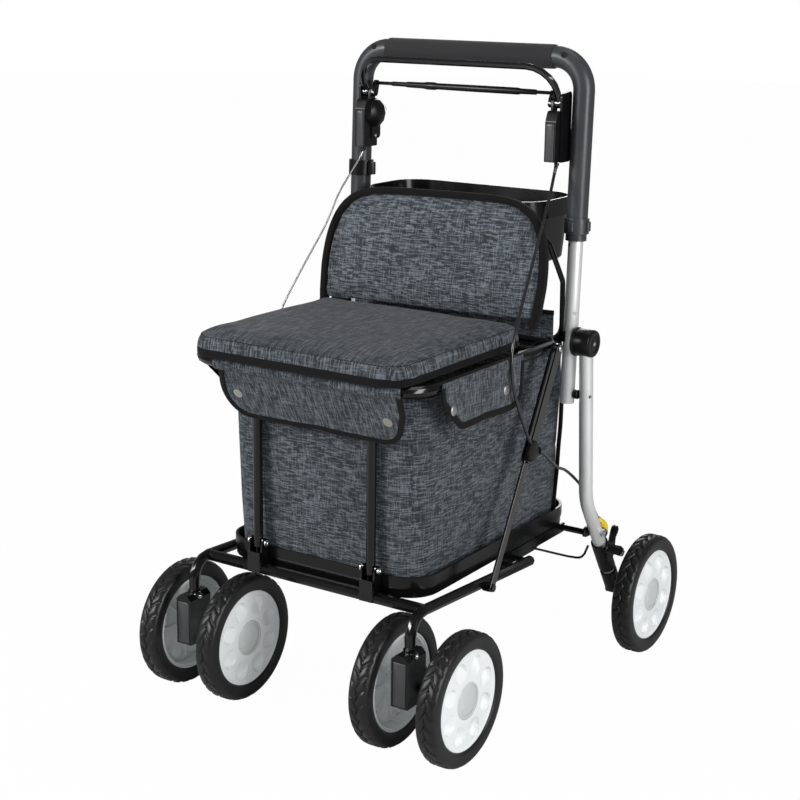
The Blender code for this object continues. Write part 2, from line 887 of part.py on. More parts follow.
def hinge_pin(y, z):
    """The pin of the right post's hinge, with a domed nut on both ends."""
    face = HINGE_SPACE / 2 + HINGE_EAR
    pieces = [along_x(HINGE_X - face - 0.002, HINGE_X + face + 0.002, y, z, HINGE_PIN_RADIUS)]
    for side in (-1, 1):
        root = HINGE_X + side * (face - 0.0005)
        end = HINGE_X + side * (face + NUT_HEIGHT)
        pieces.append(along_x(root, end, y, z, NUT_RADIUS, 6))
        pieces.append(ball((end, y, z), (0.0026, 0.0036, 0.0036), 6, 4))
    return pieces


def front_hinge():
    """The right-hand hinge at the foot of a front post, with its square plate."""
    outline = link_outline((CROSSBAR_Y, CROSSBAR_Z), (POST_Y, POST_FOOT_Z), 0.0083, 0.0070)
    half = HINGE_SPACE / 2 + HINGE_EAR / 2
    plate = block(
        (HINGE_X - half, CROSSBAR_Y - 0.0085, CROSSBAR_Z - 0.0053),
        (HINGE_X + half, CROSSBAR_Y - 0.0065, HINGE_PLATE_TOP),
    )
    return [*hinge_ears(outline), plate, *hinge_pin(POST_Y, POST_FOOT_Z)]


def rear_side_plate():
    """The right-hand plate below the tray, which ends in a lug on the rear crossbar."""
    top = PIVOT_Z + LUG_RADIUS
    tip = LUG_RADIUS - GAP
    corners = [
        (SIDE_PLATE_FRONT, top, 0.003),
        (SIDE_PLATE_FRONT, SIDE_PLATE_FOOT, 0.006),
        (SIDE_PLATE_REAR, SIDE_PLATE_FOOT, 0.010),
        (SIDE_PLATE_REAR + 0.012, PIVOT_Z - LUG_RADIUS, 0.010),
        (PIVOT_Y + LUG_RADIUS, PIVOT_Z - LUG_RADIUS, tip),
        (PIVOT_Y + LUG_RADIUS, top, tip),
    ]
    plate = side_plate(rounded_outline(corners, 4), SIDE_PLATE_X, SIDE_PLATE_WALL)
    bore = along_x(
        SIDE_PLATE_X - 0.01,
        SIDE_PLATE_X + 0.01,
        PIVOT_Y,
        PIVOT_Z,
        around(CROSS_ROD_RADIUS, ROUND),
    )
    plate = cut(plate, bore)
    inner = SIDE_PLATE_X - 0.001
    bolts = [
        along_x(inner, RAIL_X - 0.003, y, rail_height(y) + 0.002, SPACER_BOLT_RADIUS, 8)
        for y in (RAIL_REAR_Y - 0.010, SIDE_PLATE_FRONT + 0.012)
    ]
    return [plate, *bolts]


def rail():
    """The right side rail, which bends down into its caster's stem."""
    corners = [
        (RAIL_X, RAIL_REAR_Y, RAIL_REAR_Z),
        (CASTER_X, CASTER_Y, RAIL_FRONT_Z),
        (CASTER_X, CASTER_Y, SWIVEL_TOP + GAP),
    ]
    return tube(rounded_route(corners, STEM_BEND, 4), RAIL_RADIUS)


def fold_wire():
    """The right-hand wire from the side plate to the inner side of the leg."""
    points = [
        (SIDE_PLATE_X, 0.0640, 0.1925),
        (0.1675, 0.0780, 0.1870),
        (0.1820, 0.1557, 0.1551),
        (0.1920, 0.1704, 0.1544),
        (0.1980, 0.1751, 0.1710),
    ]
    return tube(smooth_route(points, 12), WIRE_RADIUS, 6)


def make_base_frame():
    """Two rails, the front crossbar, the post hinges, the side plates and the strut pins."""
    reach = RAIL_X - RAIL_RADIUS / 2
    frame = along_x(-reach, reach, CROSSBAR_Y, CROSSBAR_Z, CROSSBAR_RADIUS)
    bar_inner = STRUT_X - BAR_WALL / 2 - GAP
    bar_outer = STRUT_X + BAR_WALL / 2 + GAP
    foot = (STRUT_FOOT_Y, STRUT_FOOT_Z)
    right = [
        rail(),
        cylinder(
            (CASTER_X, CASTER_Y, SWIVEL_TOP + 0.004),
            (CASTER_X, CASTER_Y, SWIVEL_TOP - SWIVEL_PIN_LENGTH),
            SWIVEL_PIN_RADIUS,
        ),
        cylinder(
            (RAIL_X, RAIL_REAR_Y - 0.004, RAIL_REAR_Z),
            (RAIL_X, RAIL_REAR_Y + 0.004, RAIL_REAR_Z),
            RAIL_BOLT_RADIUS,
            8,
        ),
        along_x(RAIL_X + 0.003, bar_inner, *foot, STRUT_BUSH_RADIUS),
        along_x(RAIL_X + 0.001, bar_outer + 0.001, *foot, STRUT_PIN_RADIUS),
        along_x(bar_outer, bar_outer + 0.0018, *foot, 0.0055),
        *front_hinge(),
        *rear_side_plate(),
        fold_wire(),
    ]
    left = [mirrored(piece) for piece in right]
    frame = joined(frame, *right, *left)
    place(frame, "base_frame", BASE, BLACK_STEEL)


def make_tray():
    """A shallow moulded tray with a stepped wall."""
    outline = rounded_rectangle(
        TRAY_HALF_WIDTH, TRAY_FRONT, TRAY_REAR, TRAY_CORNER, TRAY_CORNER, 6
    )
    rim = TRAY_BOTTOM + TRAY_HEIGHT
    floor = TRAY_BOTTOM + TRAY_FLOOR
    step = TRAY_BOTTOM + TRAY_HEIGHT * 0.4
    levels = [
        (0.0020, TRAY_BOTTOM),
        (0.0012, TRAY_BOTTOM + 0.001),
        (0.0012, step),
        (0, step + 0.001),
        (0, rim),
        (TRAY_WALL, rim),
        (TRAY_WALL + 0.0012, floor + 0.001),
        (TRAY_WALL + 0.003, floor),
    ]
    place(moulded(outline, levels), "tray", BASE, BLACK_PLASTIC)


def make_bag():
    """The fabric bag, open at its top, which stands in the tray."""
    outline = rounded_rectangle(BAG_HALF_WIDTH, BAG_FRONT, BAG_REAR, BAG_CORNER, BAG_CORNER, 4)
    foot = TRAY_BOTTOM + TRAY_FLOOR + GAP
    levels = [
        (BAG_TAPER, foot),
        (BAG_TAPER - 0.002, foot + 0.003),
        (BAG_TAPER - 0.004, foot + 0.080),
        (0, BAG_TOP),
        (BAG_WALL, BAG_TOP),
        (BAG_TAPER - 0.004 + BAG_WALL, foot + 0.080),
        (BAG_TAPER - 0.002 + BAG_WALL, foot + BAG_WALL),
    ]
    place(moulded(outline, levels), "bag", BASE, FABRIC)


def make_legs():
    """The bent lower tubes, each with a bolt head on its outer side."""
    corners = [
        (LEG_X, LEG_TOP_Y, LEG_TOP_Z),
        (LEG_X, LEG_BEND_Y, LEG_BEND_Z),
        up_leg(LEG_END),
    ]
    leg = tube(rounded_route(corners, LEG_BEND), LEG_RADIUS, FINE)
    bolt_at = up_leg(LEG_BOLT_RISE)
    bolt = along_x(LEG_X, LEG_BOLT_X, bolt_at.y, bolt_at.z, LEG_BOLT_RADIUS, 8)
    place_pair(joined(leg, bolt), "leg", (LEGS, LEGS), ALUMINIUM)


def make_rear_crossbar():
    """The rod on which the legs fold, with a tab against the inner side of each leg."""
    face = LEG_X - LEG_RADIUS - GAP
    inner = face - CROSS_TAB_WALL
    rod = along_x(-inner - 0.001, inner + 0.001, PIVOT_Y, PIVOT_Z, CROSS_ROD_RADIUS)
    outline = link_outline((PIVOT_Y, PIVOT_Z), (CROSS_TAB_Y, PIVOT_Z), 0.008, 0.009)
    tabs = [
        side_plate(outline, sign * (face - CROSS_TAB_WALL / 2), CROSS_TAB_WALL) for sign in (1, -1)
    ]
    place(joined(rod, *tabs), "rear_crossbar", LEGS, BLACK_STEEL)


def make_rear_forks():
    """A socket on the end of each leg, with the stub axle of the rear wheel."""
    axle = (REAR_AXLE_Y, WHEEL_RADIUS)
    root = AXLE_BOSS_INNER_X + 0.002
    hub_end = REAR_WHEEL_X - DISC_WIDTH / 2
    fork = joined(
        cylinder(up_leg(SOCKET_FOOT), up_leg(SOCKET_TOP), SOCKET_RADIUS, FINE),
        along_x(AXLE_BOSS_INNER_X, AXLE_BOSS_OUTER_X, *axle, AXLE_BOSS_RADIUS, FINE),
        along_x(root, hub_end, *axle, SPACER_RADIUS),
        along_x(root, hub_end + AXLE_DEPTH, *axle, AXLE_RADIUS),
    )
    bore = cylinder(
        up_leg(LEG_END - GAP), up_leg(SOCKET_TOP + 0.01), around(LEG_RADIUS, FINE), FINE
    )
    place_pair(cut(fork, bore), "rear_fork", (LEGS, LEGS), BLACK_PLASTIC)


def make_brake_mounts():
    """A sleeve on each leg with the brake arm's plate and pin, and a tab under the cable."""
    root = up_leg(MOUNT_PLATE_RISE)
    tab_root = up_leg(MOUNT_TOP - 0.006)
    pivot = (BRAKE_PIVOT_Y, BRAKE_PIVOT_Z)
    plate = link_outline((root.y, root.z), pivot, 0.012, 0.008)
    tab_top = FERRULE_FOOT - GAP
    tab = rounded_outline(
        [
            (tab_root.y, tab_root.z, 0),
            (FERRULE_Y + 0.005, tab_top - 0.004, 0),
            (FERRULE_Y + 0.005, tab_top, 0),
            (FERRULE_Y - 0.006, tab_top, 0.001),
        ]
    )
    mount = joined(
        cylinder(up_leg(MOUNT_FOOT), up_leg(MOUNT_TOP), SOCKET_RADIUS, FINE),
        side_plate(plate, MOUNT_PLATE_X, MOUNT_PLATE_WALL),
        side_plate(tab, FERRULE_X, FERRULE_TAB_WALL),
        along_x(MOUNT_PLATE_X, ARM_X + ARM_WALL, *pivot, BRAKE_PIN_RADIUS),
    )
    bore = cylinder(
        up_leg(MOUNT_FOOT - 0.01), up_leg(MOUNT_TOP + 0.03), around(LEG_RADIUS, FINE), FINE
    )
    place_pair(cut(mount, bore), "brake_mount", (LEGS, LEGS), BLACK_PLASTIC)


def make_brake_arms():
    """A lever outside each leg, with a shoe that presses on the rear tyre."""
    pivot = (BRAKE_PIVOT_Y, BRAKE_PIVOT_Z)
    axle = (REAR_AXLE_Y, WHEEL_RADIUS)
    face = WHEEL_RADIUS + SHOE_GAP
    start = SHOE_TURN - SHOE_SPREAD
    end = SHOE_TURN + SHOE_SPREAD
    shoe = arc(axle, face, start, end, 5) + arc(axle, face + SHOE_THICKNESS, end, start, 5)
    root = arc(axle, face + SHOE_THICKNESS / 2, SHOE_TURN, SHOE_TURN, 1)[0]
    inner_x = ARM_X - ARM_WALL / 2
    arm = joined(
        side_plate(link_outline(pivot, root, 0.0075, 0.006), ARM_X, ARM_WALL),
        side_plate(shoe, (inner_x + SHOE_OUTER_X) / 2, SHOE_OUTER_X - inner_x),
    )
    bore = along_x(ARM_X - 0.01, ARM_X + 0.01, *pivot, around(BRAKE_PIN_RADIUS, ROUND))
    place_pair(cut(arm, bore), "brake_arm", (BRAKES, BRAKES), BLACK_STEEL)


def make_uprights():
    """The upper tubes, with the holes of the height adjustment in their front."""
    outer = cylinder(upright(UPRIGHT_FOOT_Z), upright(UPRIGHT_TOP_Z), UPRIGHT_RADIUS, FINE)
    bore = cylinder(
        upright(UPRIGHT_FOOT_Z - 0.01),
        upright(UPRIGHT_TOP_Z + 0.01),
        UPRIGHT_RADIUS - UPRIGHT_WALL,
        FINE,
    )
    holes = []
    for i in range(HOLE_COUNT):
        middle = upright(HOLE_TOP_Z - i * HOLE_PITCH)
        holes.append(cylinder(middle, middle - Vector((0, 0.02, 0)), HOLE_RADIUS, 8))
    place_pair(cut(outer, bore, *holes), "upper_tube", (LEGS, LEGS), ALUMINIUM)


def make_leg_knobs():
    """The moulding that holds the leg to the upper tube, with a round cap outside."""
    inner = UPRIGHT_X + UPRIGHT_RADIUS + GAP
    web_end = LEG_X - LEG_RADIUS - GAP
    edge = 0.0015
    profile = [
        (0, KNOB_OUTER_X - inner),
        (KNOB_RADIUS - edge, KNOB_OUTER_X - inner),
        (KNOB_RADIUS, KNOB_OUTER_X - inner - edge),
        (KNOB_RADIUS, 0),
        (0, 0),
    ]
    drum = turned(profile, FINE, x_frame(inner, KNOB_Y, KNOB_Z))
    spacer_y = upright(SPACER_Z).y
    outline = link_outline((KNOB_Y, KNOB_Z), (spacer_y, SPACER_Z), WEB_HALF, SPACER_RADIUS_LOW)
    web = side_plate(outline, (inner + web_end) / 2, web_end - inner)
    knob = joined(drum, web)
    top = Vector((LEG_X, LEG_TOP_Y, LEG_TOP_Z))
    down = (Vector((LEG_X, LEG_BEND_Y, LEG_BEND_Z)) - top).normalized()
    bore = cylinder(top + down * 0.03, top - down * GAP, around(LEG_RADIUS, FINE), FINE)
    place_pair(cut(knob, bore), "leg_knob", (LEGS, LEGS), BLACK_PLASTIC)


def make_pivot_brackets():
    """A saddle inside each upright, with the plate and rivet of the seat frame's hinge."""
    foot = upright(BRACKET_RING_Z)
    head = upright(BRACKET_RING_Z + BRACKET_RING_HEIGHT)
    middle = (foot + head) / 2
    outline = link_outline(
        (middle.y, middle.z), (SEAT_PIVOT_Y, SEAT_PIVOT_Z), 0.0075, PIVOT_PLATE_RADIUS
    )
    face = BRACKET_X - PIVOT_PLATE / 2
    bracket = joined(
        cylinder(foot, head, BRACKET_RING_RADIUS, FINE),
        side_plate(outline, BRACKET_X, PIVOT_PLATE),
        along_x(BRACKET_X, face - RIVET_HEIGHT, SEAT_PIVOT_Y, SEAT_PIVOT_Z, RIVET_RADIUS),
    )
    bore = cylinder(
        upright(BRACKET_RING_Z - 0.01),
        upright(BRACKET_RING_Z + BRACKET_RING_HEIGHT + 0.01),
        around(UPRIGHT_RADIUS, FINE),
        FINE,
    )
    outer_half = block(
        (UPRIGHT_X - BRACKET_RING_SHARE, foot.y - 0.03, foot.z - 0.01),
        (UPRIGHT_X + 0.03, foot.y + 0.03, head.z + 0.01),
    )
    bracket = cut(bracket, bore, outer_half)
    place_pair(bracket, "pivot_bracket", (LEGS, LEGS), BLACK_STEEL)


def make_front_posts():
    """The two posts that carry the front of the seat frame."""
    post = cylinder(
        (HINGE_X, POST_Y, POST_FOOT_Z - POST_END),
        (HINGE_X, POST_Y, POST_TOP_Z + POST_END),
        POST_RADIUS,
        FINE,
    )
    bores = [
        along_x(
            HINGE_X - 0.02, HINGE_X + 0.02, POST_Y, z, around(HINGE_PIN_RADIUS, ROUND)
        )
        for z in (POST_FOOT_Z, POST_TOP_Z)
    ]
    place_pair(cut(post, *bores), "front_post", (POSTS, POSTS), BLACK_STEEL)


def make_seat_frame():
    """The seat's U tube with its cross tube, the post hinges, the rear ears and strut pins."""
    corners = [
        (-SEAT_X, SEAT_TUBE_REAR, SEAT_Z),
        (-SEAT_X, SEAT_FRONT, SEAT_Z),
        (SEAT_X, SEAT_FRONT, SEAT_Z),
        (SEAT_X, SEAT_TUBE_REAR, SEAT_Z),
    ]
    frame = tube(rounded_route(corners, SEAT_CORNER), SEAT_TUBE_RADIUS)
    reach = SEAT_X - SEAT_TUBE_RADIUS / 2
    cross = along_x(-reach, reach, CROSS_TUBE_Y, CROSS_TUBE_Z, CROSS_TUBE_RADIUS)
    post_ear = link_outline(
        (SEAT_FRONT, SEAT_Z), (POST_Y, POST_TOP_Z), HINGE_EAR_HEAD, 0.0070
    )
    rear_ear = link_outline(
        (SEAT_TUBE_REAR - 0.008, SEAT_Z), (SEAT_PIVOT_Y, SEAT_PIVOT_Z), 0.0075, PIVOT_PLATE_RADIUS
    )
    right = [
        *hinge_ears(post_ear),
        *hinge_pin(POST_Y, POST_TOP_Z),
        side_plate(rear_ear, EAR_X, PIVOT_PLATE),
        along_x(SEAT_X + 0.001, STRUT_OUTER - GAP, STRUT_TOP_Y, SEAT_Z, STRUT_PIN_RADIUS),
    ]
    left = [mirrored(piece) for piece in right]
    place(joined(frame, cross, *right, *left), "seat_frame", SEAT, BLACK_STEEL)


def strut_ends():
    """The strut's foot, knee and top in Y and Z."""
    foot = Vector((STRUT_FOOT_Y, STRUT_FOOT_Z))
    top = Vector((STRUT_TOP_Y, SEAT_Z))
    return foot, foot + (top - foot) * STRUT_KNEE, top


def make_struts():
    """Each side strut: a flat bar below, and a fork of two strips above."""
    foot, knee, top = strut_ends()
    along = (top - foot).normalized()
    lower = side_plate(
        link_outline(foot, knee + along * STRUT_LAP, BAR_WIDTH / 2, BAR_WIDTH / 2),
        STRUT_X,
        BAR_WALL,
    )
    pin = around(STRUT_PIN_RADIUS, ROUND)
    lower = cut(lower, along_x(STRUT_INNER, STRUT_OUTER, foot.x, foot.y, pin))
    place_pair(lower, "strut_lower", (LOWER_STRUTS, LOWER_STRUTS), BLACK_STEEL)
    outline = link_outline(knee - along * STRUT_LAP, top, STRIP_WIDTH / 2, STRIP_WIDTH / 2)
    offset = STRUT_THICKNESS / 2 - STRIP_WALL / 2
    upper = joined(
        side_plate(outline, STRUT_X + offset, STRIP_WALL),
        side_plate(outline, STRUT_X - offset, STRIP_WALL),
        along_x(
            STRUT_INNER + STRIP_WALL / 2,
            STRUT_OUTER - STRIP_WALL / 2,
            top.x,
            top.y,
            STRUT_BUSH_RADIUS,
        ),
    )
    upper = cut(upper, along_x(STRUT_INNER - 0.01, STRUT_OUTER + 0.01, top.x, top.y, pin))
    place_pair(upper, "strut_upper", (UPPER_STRUTS, UPPER_STRUTS), BLACK_STEEL)


def make_handle():
    """The bent handle tube, bored for the uprights, and its foam grip."""
    corner = upright(BAR_Z)
    foot = upright(HANDLE_FOOT_Z)
    corners = [
        (-foot.x, foot.y, foot.z),
        (-corner.x, corner.y, corner.z),
        corner,
        foot,
    ]
    handle = tube(rounded_route(corners, HANDLE_CORNER, 6), HANDLE_RADIUS, FINE)
    bore = around(UPRIGHT_RADIUS, FINE)
    right = cylinder(upright(HANDLE_FOOT_Z - 0.01), upright(HANDLE_BORE_TOP), bore, FINE)
    left = mirrored(right)
    place(cut(handle, right, left), "handle_tube", HANDLE, DARK_PAINT)
    half = UPRIGHT_X - HANDLE_CORNER - 0.001
    sleeve = around(HANDLE_RADIUS, FINE)
    profile = [
        (GRIP_RADIUS - 0.0008, half),
        (GRIP_RADIUS, half - 0.002),
        (GRIP_RADIUS, 0.002 - half),
        (GRIP_RADIUS - 0.0008, -half),
        (sleeve, -half),
        (sleeve, half),
    ]
    place(turned(profile, FINE, x_frame(0, corner.y, BAR_Z)), "grip", HANDLE, FOAM)


def make_collars():
    """A collar under each end of the handle tube, with a lug on its outer side."""
    top_z = HANDLE_FOOT_Z + COLLAR_LAP
    shoulder_z = HANDLE_FOOT_Z - COLLAR_DROP
    base = upright(shoulder_z - COLLAR_SKIRT_HEIGHT)
    lean = (upright(top_z) - base).normalized()
    turn = Vector((0, 0, 1)).rotation_difference(lean).to_matrix().to_4x4()
    height = (upright(top_z) - base).length
    seat = (upright(HANDLE_FOOT_Z) - base).length - GAP
    tight = around(UPRIGHT_RADIUS, FINE)
    wide = around(HANDLE_RADIUS, FINE)
    shoulder = (upright(shoulder_z) - base).length
    profile = [
        (wide, height),
        (COLLAR_RADIUS - 0.0008, height),
        (COLLAR_RADIUS, height - 0.0015),
        (COLLAR_RADIUS, shoulder),
        (COLLAR_SKIRT, shoulder - 0.001),
        (COLLAR_SKIRT, 0),
        (tight, 0),
        (tight, seat),
        (wide, seat),
    ]
    ring = turned(profile, FINE, Matrix.Translation(base) @ turn)
    middle = upright((top_z + shoulder_z) / 2)
    half = (top_z - shoulder_z) * COLLAR_LUG_SHARE
    front = block(
        middle + Vector((-0.004, -COLLAR_RADIUS - 0.003, -half)),
        middle + Vector((0.004, -COLLAR_RADIUS + 0.0014, half)),
        0.001,
    )
    side = block(
        middle + Vector((COLLAR_RADIUS - 0.0014, -0.004, -half)),
        middle + Vector((COLLAR_RADIUS + 0.003, 0.004, half)),
        0.001,
    )
    place_pair(joined(ring, front, side), "collar", (HANDLE, HANDLE), BLACK_PLASTIC)


def brake_housing():
    """The right brake housing: a box, the plate on the handle tube and the levers' pin."""
    inner = HOUSING_PLATE_X - HOUSING_PLATE / 2
    box = [
        (HOUSING_FRONT, HOUSING_FOOT, 0.002),
        (HOUSING_REAR, HOUSING_FOOT, 0.002),
        (HOUSING_REAR, HOUSING_TOP, 0.003),
        (HOUSING_FRONT + 0.006, HOUSING_TOP, 0.006),
        (HOUSING_FRONT, HOUSING_TOP - 0.014, 0.006),
    ]
    plate = [
        (HOUSING_PLATE_FRONT, HOUSING_FOOT - 0.001, 0.004),
        (HOUSING_PLATE_REAR, HOUSING_FOOT - 0.001, 0.004),
        (HOUSING_PLATE_REAR, HOUSING_PLATE_TOP, 0.006),
        (HOUSING_PLATE_FRONT, HOUSING_PLATE_TOP - 0.004, 0.006),
    ]
    cheek = link_outline(
        (LEVER_Y, LEVER_Z), (LEVER_Y, HOUSING_TOP - 0.008), EYE_RADIUS, EYE_RADIUS
    )
    width = inner + 0.001 - HOUSING_INNER_X
    return joined(
        side_plate(rounded_outline(box, 3), HOUSING_INNER_X + width / 2, width),
        side_plate(rounded_outline(plate, 3), HOUSING_PLATE_X, HOUSING_PLATE),
        side_plate(cheek, HOUSING_INNER_X + HOUSING_CHEEK / 2, HOUSING_CHEEK),
        along_x(
            HOUSING_PLATE_X,
            PARK_EYE_X - PARK_EYE_WIDTH / 2 - 0.0006,
            LEVER_Y,
            LEVER_Z,
            LEVER_PIN_RADIUS,
        ),
    )


def make_brake_housings():
    """Both brake housings; the left one also carries a round cover on its inner side."""
    right = brake_housing()
    left = mirrored(right)
    dome = ball(
        (-HOUSING_INNER_X - 0.002, DOME_Y, DOME_Z),
        (DOME_HEIGHT + 0.002, DOME_RADIUS, DOME_RADIUS),
    )
    keep = block(
        (-HOUSING_INNER_X - 0.0015, DOME_Y - 0.05, DOME_Z - 0.05),
        (-HOUSING_INNER_X - 0.03, DOME_Y + 0.05, DOME_Z + 0.05),
    )
    dome = cut(dome, keep)
    foot = [
        (DOME_Y - 0.010, DOME_PLATE_FOOT, 0.004),
        (DOME_Y + 0.012, DOME_PLATE_FOOT, 0.006),
        (DOME_Y + 0.012, DOME_Z - 0.010, 0.004),
        (DOME_Y - 0.010, DOME_Z - 0.010, 0.004),
    ]
    plate = side_plate(rounded_outline(foot, 3), 0.0005 - HOUSING_INNER_X, 0.003)
    place(right, "brake_housing_right", HANDLE, BLACK_PLASTIC)
    place(joined(left, dome, plate), "brake_housing_left", HANDLE, BLACK_PLASTIC)


def make_brake_bar():
    """The bar below the grip, which is squeezed to brake, with an eye at each end."""
    corners = [
        (-EYE_X, LEVER_Y, LEVER_Z),
        (-EYE_X, BRAKE_BAR_Y, BRAKE_BAR_Z),
        (EYE_X, BRAKE_BAR_Y, BRAKE_BAR_Z),
        (EYE_X, LEVER_Y, LEVER_Z),
    ]
    bar = tube(rounded_route(corners, BRAKE_BAR_BEND), BRAKE_BAR_RADIUS, 8)
    half = EYE_WIDTH / 2
    eyes = []
    bores = []
    for sign in (1, -1):
        ends = (sign * EYE_X - half, sign * EYE_X + half)
        eyes.append(along_x(*ends, LEVER_Y, LEVER_Z, EYE_RADIUS, FINE))
        bore = around(LEVER_PIN_RADIUS, ROUND)
        bores.append(along_x(ends[0] - 0.004, ends[1] + 0.004, LEVER_Y, LEVER_Z, bore))
    place(cut(joined(bar, *eyes), *bores), "brake_bar", BRAKE_BAR, GLOSS_BLACK)


def make_parking_bar():
    """The thin bar between the housings, with a sleeve and a short arm at each end."""
    rod = along_x(-PARK_EYE_X, PARK_EYE_X, PARK_Y, PARK_Z, PARK_RADIUS, 8)
    sleeve = along_x(PARK_SLEEVE_LEFT, PARK_SLEEVE_RIGHT, PARK_Y, PARK_Z, PARK_SLEEVE, 10)
    outline = link_outline((LEVER_Y, LEVER_Z), (PARK_Y, PARK_Z), PARK_EYE_RADIUS, 0.0045)
    arms = [side_plate(outline, sign * PARK_EYE_X, PARK_EYE_WIDTH) for sign in (1, -1)]
    bore = around(LEVER_PIN_RADIUS, ROUND)
    half = PARK_EYE_WIDTH / 2 + 0.002
    bores = [
        along_x(sign * PARK_EYE_X - half, sign * PARK_EYE_X + half, LEVER_Y, LEVER_Z, bore)
        for sign in (1, -1)
    ]
    place(cut(joined(rod, sleeve, *arms), *bores), "parking_bar", PARKING, BLACK_STEEL)


def make_cane_clamp():
    """The clamp ring on the left side of the handle, with a rounded lobe."""
    base = upright(CLAMP_Z)
    top = upright(CLAMP_Z + CLAMP_HEIGHT)
    lobe = Vector((CLAMP_LOBE_X, CLAMP_LOBE_Y, 0))
    ring = joined(
        cylinder(base, top, CLAMP_RADIUS, FINE),
        cylinder(
            lobe + Vector((0, 0, CLAMP_Z + 0.002)),
            lobe + Vector((0, 0, CLAMP_Z + CLAMP_HEIGHT - 0.002)),
            CLAMP_LOBE,
        ),
    )
    below = upright(CLAMP_Z - 0.01)
    above = upright(CLAMP_Z + CLAMP_HEIGHT + 0.01)
    ring = cut(ring, cylinder(below, above, around(HANDLE_RADIUS, FINE), FINE))
    left = mirrored(ring)
    bpy.data.objects.remove(ring)
    place(left, "cane_clamp", HANDLE, BLACK_PLASTIC)


def make_seat():
    """The lid: a thin board below and a crowned cushion above it."""
    board = rounded_rectangle(
        BOARD_HALF_WIDTH, BOARD_FRONT, CUSHION_REAR, BOARD_CORNER, 0.008, 4
    )
    levels = [(0, SEAT_TOP + GAP), (0, BOARD_TOP)]
    place(moulded(board, levels), "seat_board", LID, BLACK_PLASTIC)
    outline = rounded_rectangle(
        CUSHION_HALF_WIDTH,
        CUSHION_FRONT,
        CUSHION_REAR,
        CUSHION_CORNER,
        CUSHION_REAR_CORNER,
        7,
    )
    foot = BOARD_TOP + GAP
    seam = foot + CUSHION_HEIGHT
    levels = [
        (0.010, foot),
        (0.001, foot + 0.0025),
        (0, foot + 0.0055),
        (PIPING, (foot + seam) / 2),
        (0.0005, seam - PIPING * 1.5),
        (0.002, seam),
        (0.018, seam + CUSHION_CROWN * 0.48),
        (0.050, seam + CUSHION_CROWN * 0.84),
        (0.095, seam + CUSHION_CROWN),
    ]
    place(moulded(outline, levels), "seat_cushion", LID, FABRIC)


def make_backrest():
    """The padded backrest, crowned towards the front, with large upper corners."""
    corners = [
        (-BACK_HALF_WIDTH, 0, 0.014),
        (BACK_HALF_WIDTH, 0, 0.014),
        (BACK_MIDDLE_HALF_WIDTH, BACK_HEIGHT * 0.45, 0.060),
        (BACK_TOP_HALF_WIDTH, BACK_HEIGHT, BACK_CORNER),
        (-BACK_TOP_HALF_WIDTH, BACK_HEIGHT, BACK_CORNER),
        (-BACK_MIDDLE_HALF_WIDTH, BACK_HEIGHT * 0.45, 0.060),
    ]
    levels = [
        (PIPING, 0),
        (0, 0.002),
        (0, BACK_THICKNESS - 0.003),
        (PIPING * 0.5, BACK_THICKNESS),
        (0.014, BACK_THICKNESS + BACK_CROWN * 0.6),
        (0.040, BACK_THICKNESS + BACK_CROWN),
    ]
    frame = Matrix(
        (
            (1, BACK_UP.x, BACK_OUT.x, 0),
            (0, BACK_UP.y, BACK_OUT.y, BACK_FOOT_Y),
            (0, BACK_UP.z, BACK_OUT.z, BACK_FOOT_Z),
            (0, 0, 0, 1),
        )
    )
    place(moulded(rounded_outline(corners, 7), levels, frame), "backrest", SEAT, FABRIC)


def bow_top_y():
    """Where the bow's top rests on the back of the backrest."""
    rise = (BOW_TOP_Z - BACK_FOOT_Z) * tan(BACK_LEAN)
    return BACK_FOOT_Y + rise + (BOW_RADIUS + GAP) / cos(BACK_LEAN)


def make_bow():
    """The bent rod that carries the backrest and the bin."""
    start = CROSS_TUBE_Y + CROSS_TUBE_RADIUS + GAP
    half = [
        (BOW_X, start, CROSS_TUBE_Z),
        (BOW_X, BOW_REAR_Y, CROSS_TUBE_Z),
        (BOW_SHOULDER_X, BOW_SHOULDER_Y, BOW_SHOULDER_Z),
        (BOW_NECK_X, BOW_NECK_Y, BOW_NECK_Z),
        (BOW_TOP_X, bow_top_y(), BOW_TOP_Z),
    ]
    other = [(-x, y, z) for x, y, z in reversed(half)]
    bow = tube(rounded_route(half + other, BOW_BEND, 3), BOW_RADIUS, 8)
    place(bow, "backrest_bow", SEAT, BLACK_STEEL)


def make_bin():
    """The open bin behind the backrest, with a wider band round its rim."""
    front = bow_top_y() + BOW_RADIUS + GAP
    outline = rounded_rectangle(BIN_HALF_WIDTH, front, BIN_REAR, BIN_CORNER, BIN_CORNER, 6)
    band = BIN_RIM - BIN_BAND
    levels = [
        (BIN_TAPER + 0.003, BIN_FOOT),
        (BIN_TAPER, BIN_FOOT + 0.003),
        (BIN_STEP, band - 0.001),
        (0, band),
        (0, BIN_RIM),
        (BIN_WALL, BIN_RIM),
        (BIN_TAPER + BIN_WALL, BIN_FOOT + BIN_WALL + 0.001),
        (BIN_TAPER + BIN_WALL + 0.002, BIN_FOOT + BIN_WALL),
    ]
    place(moulded(outline, levels), "bin", SEAT, BLACK_PLASTIC)


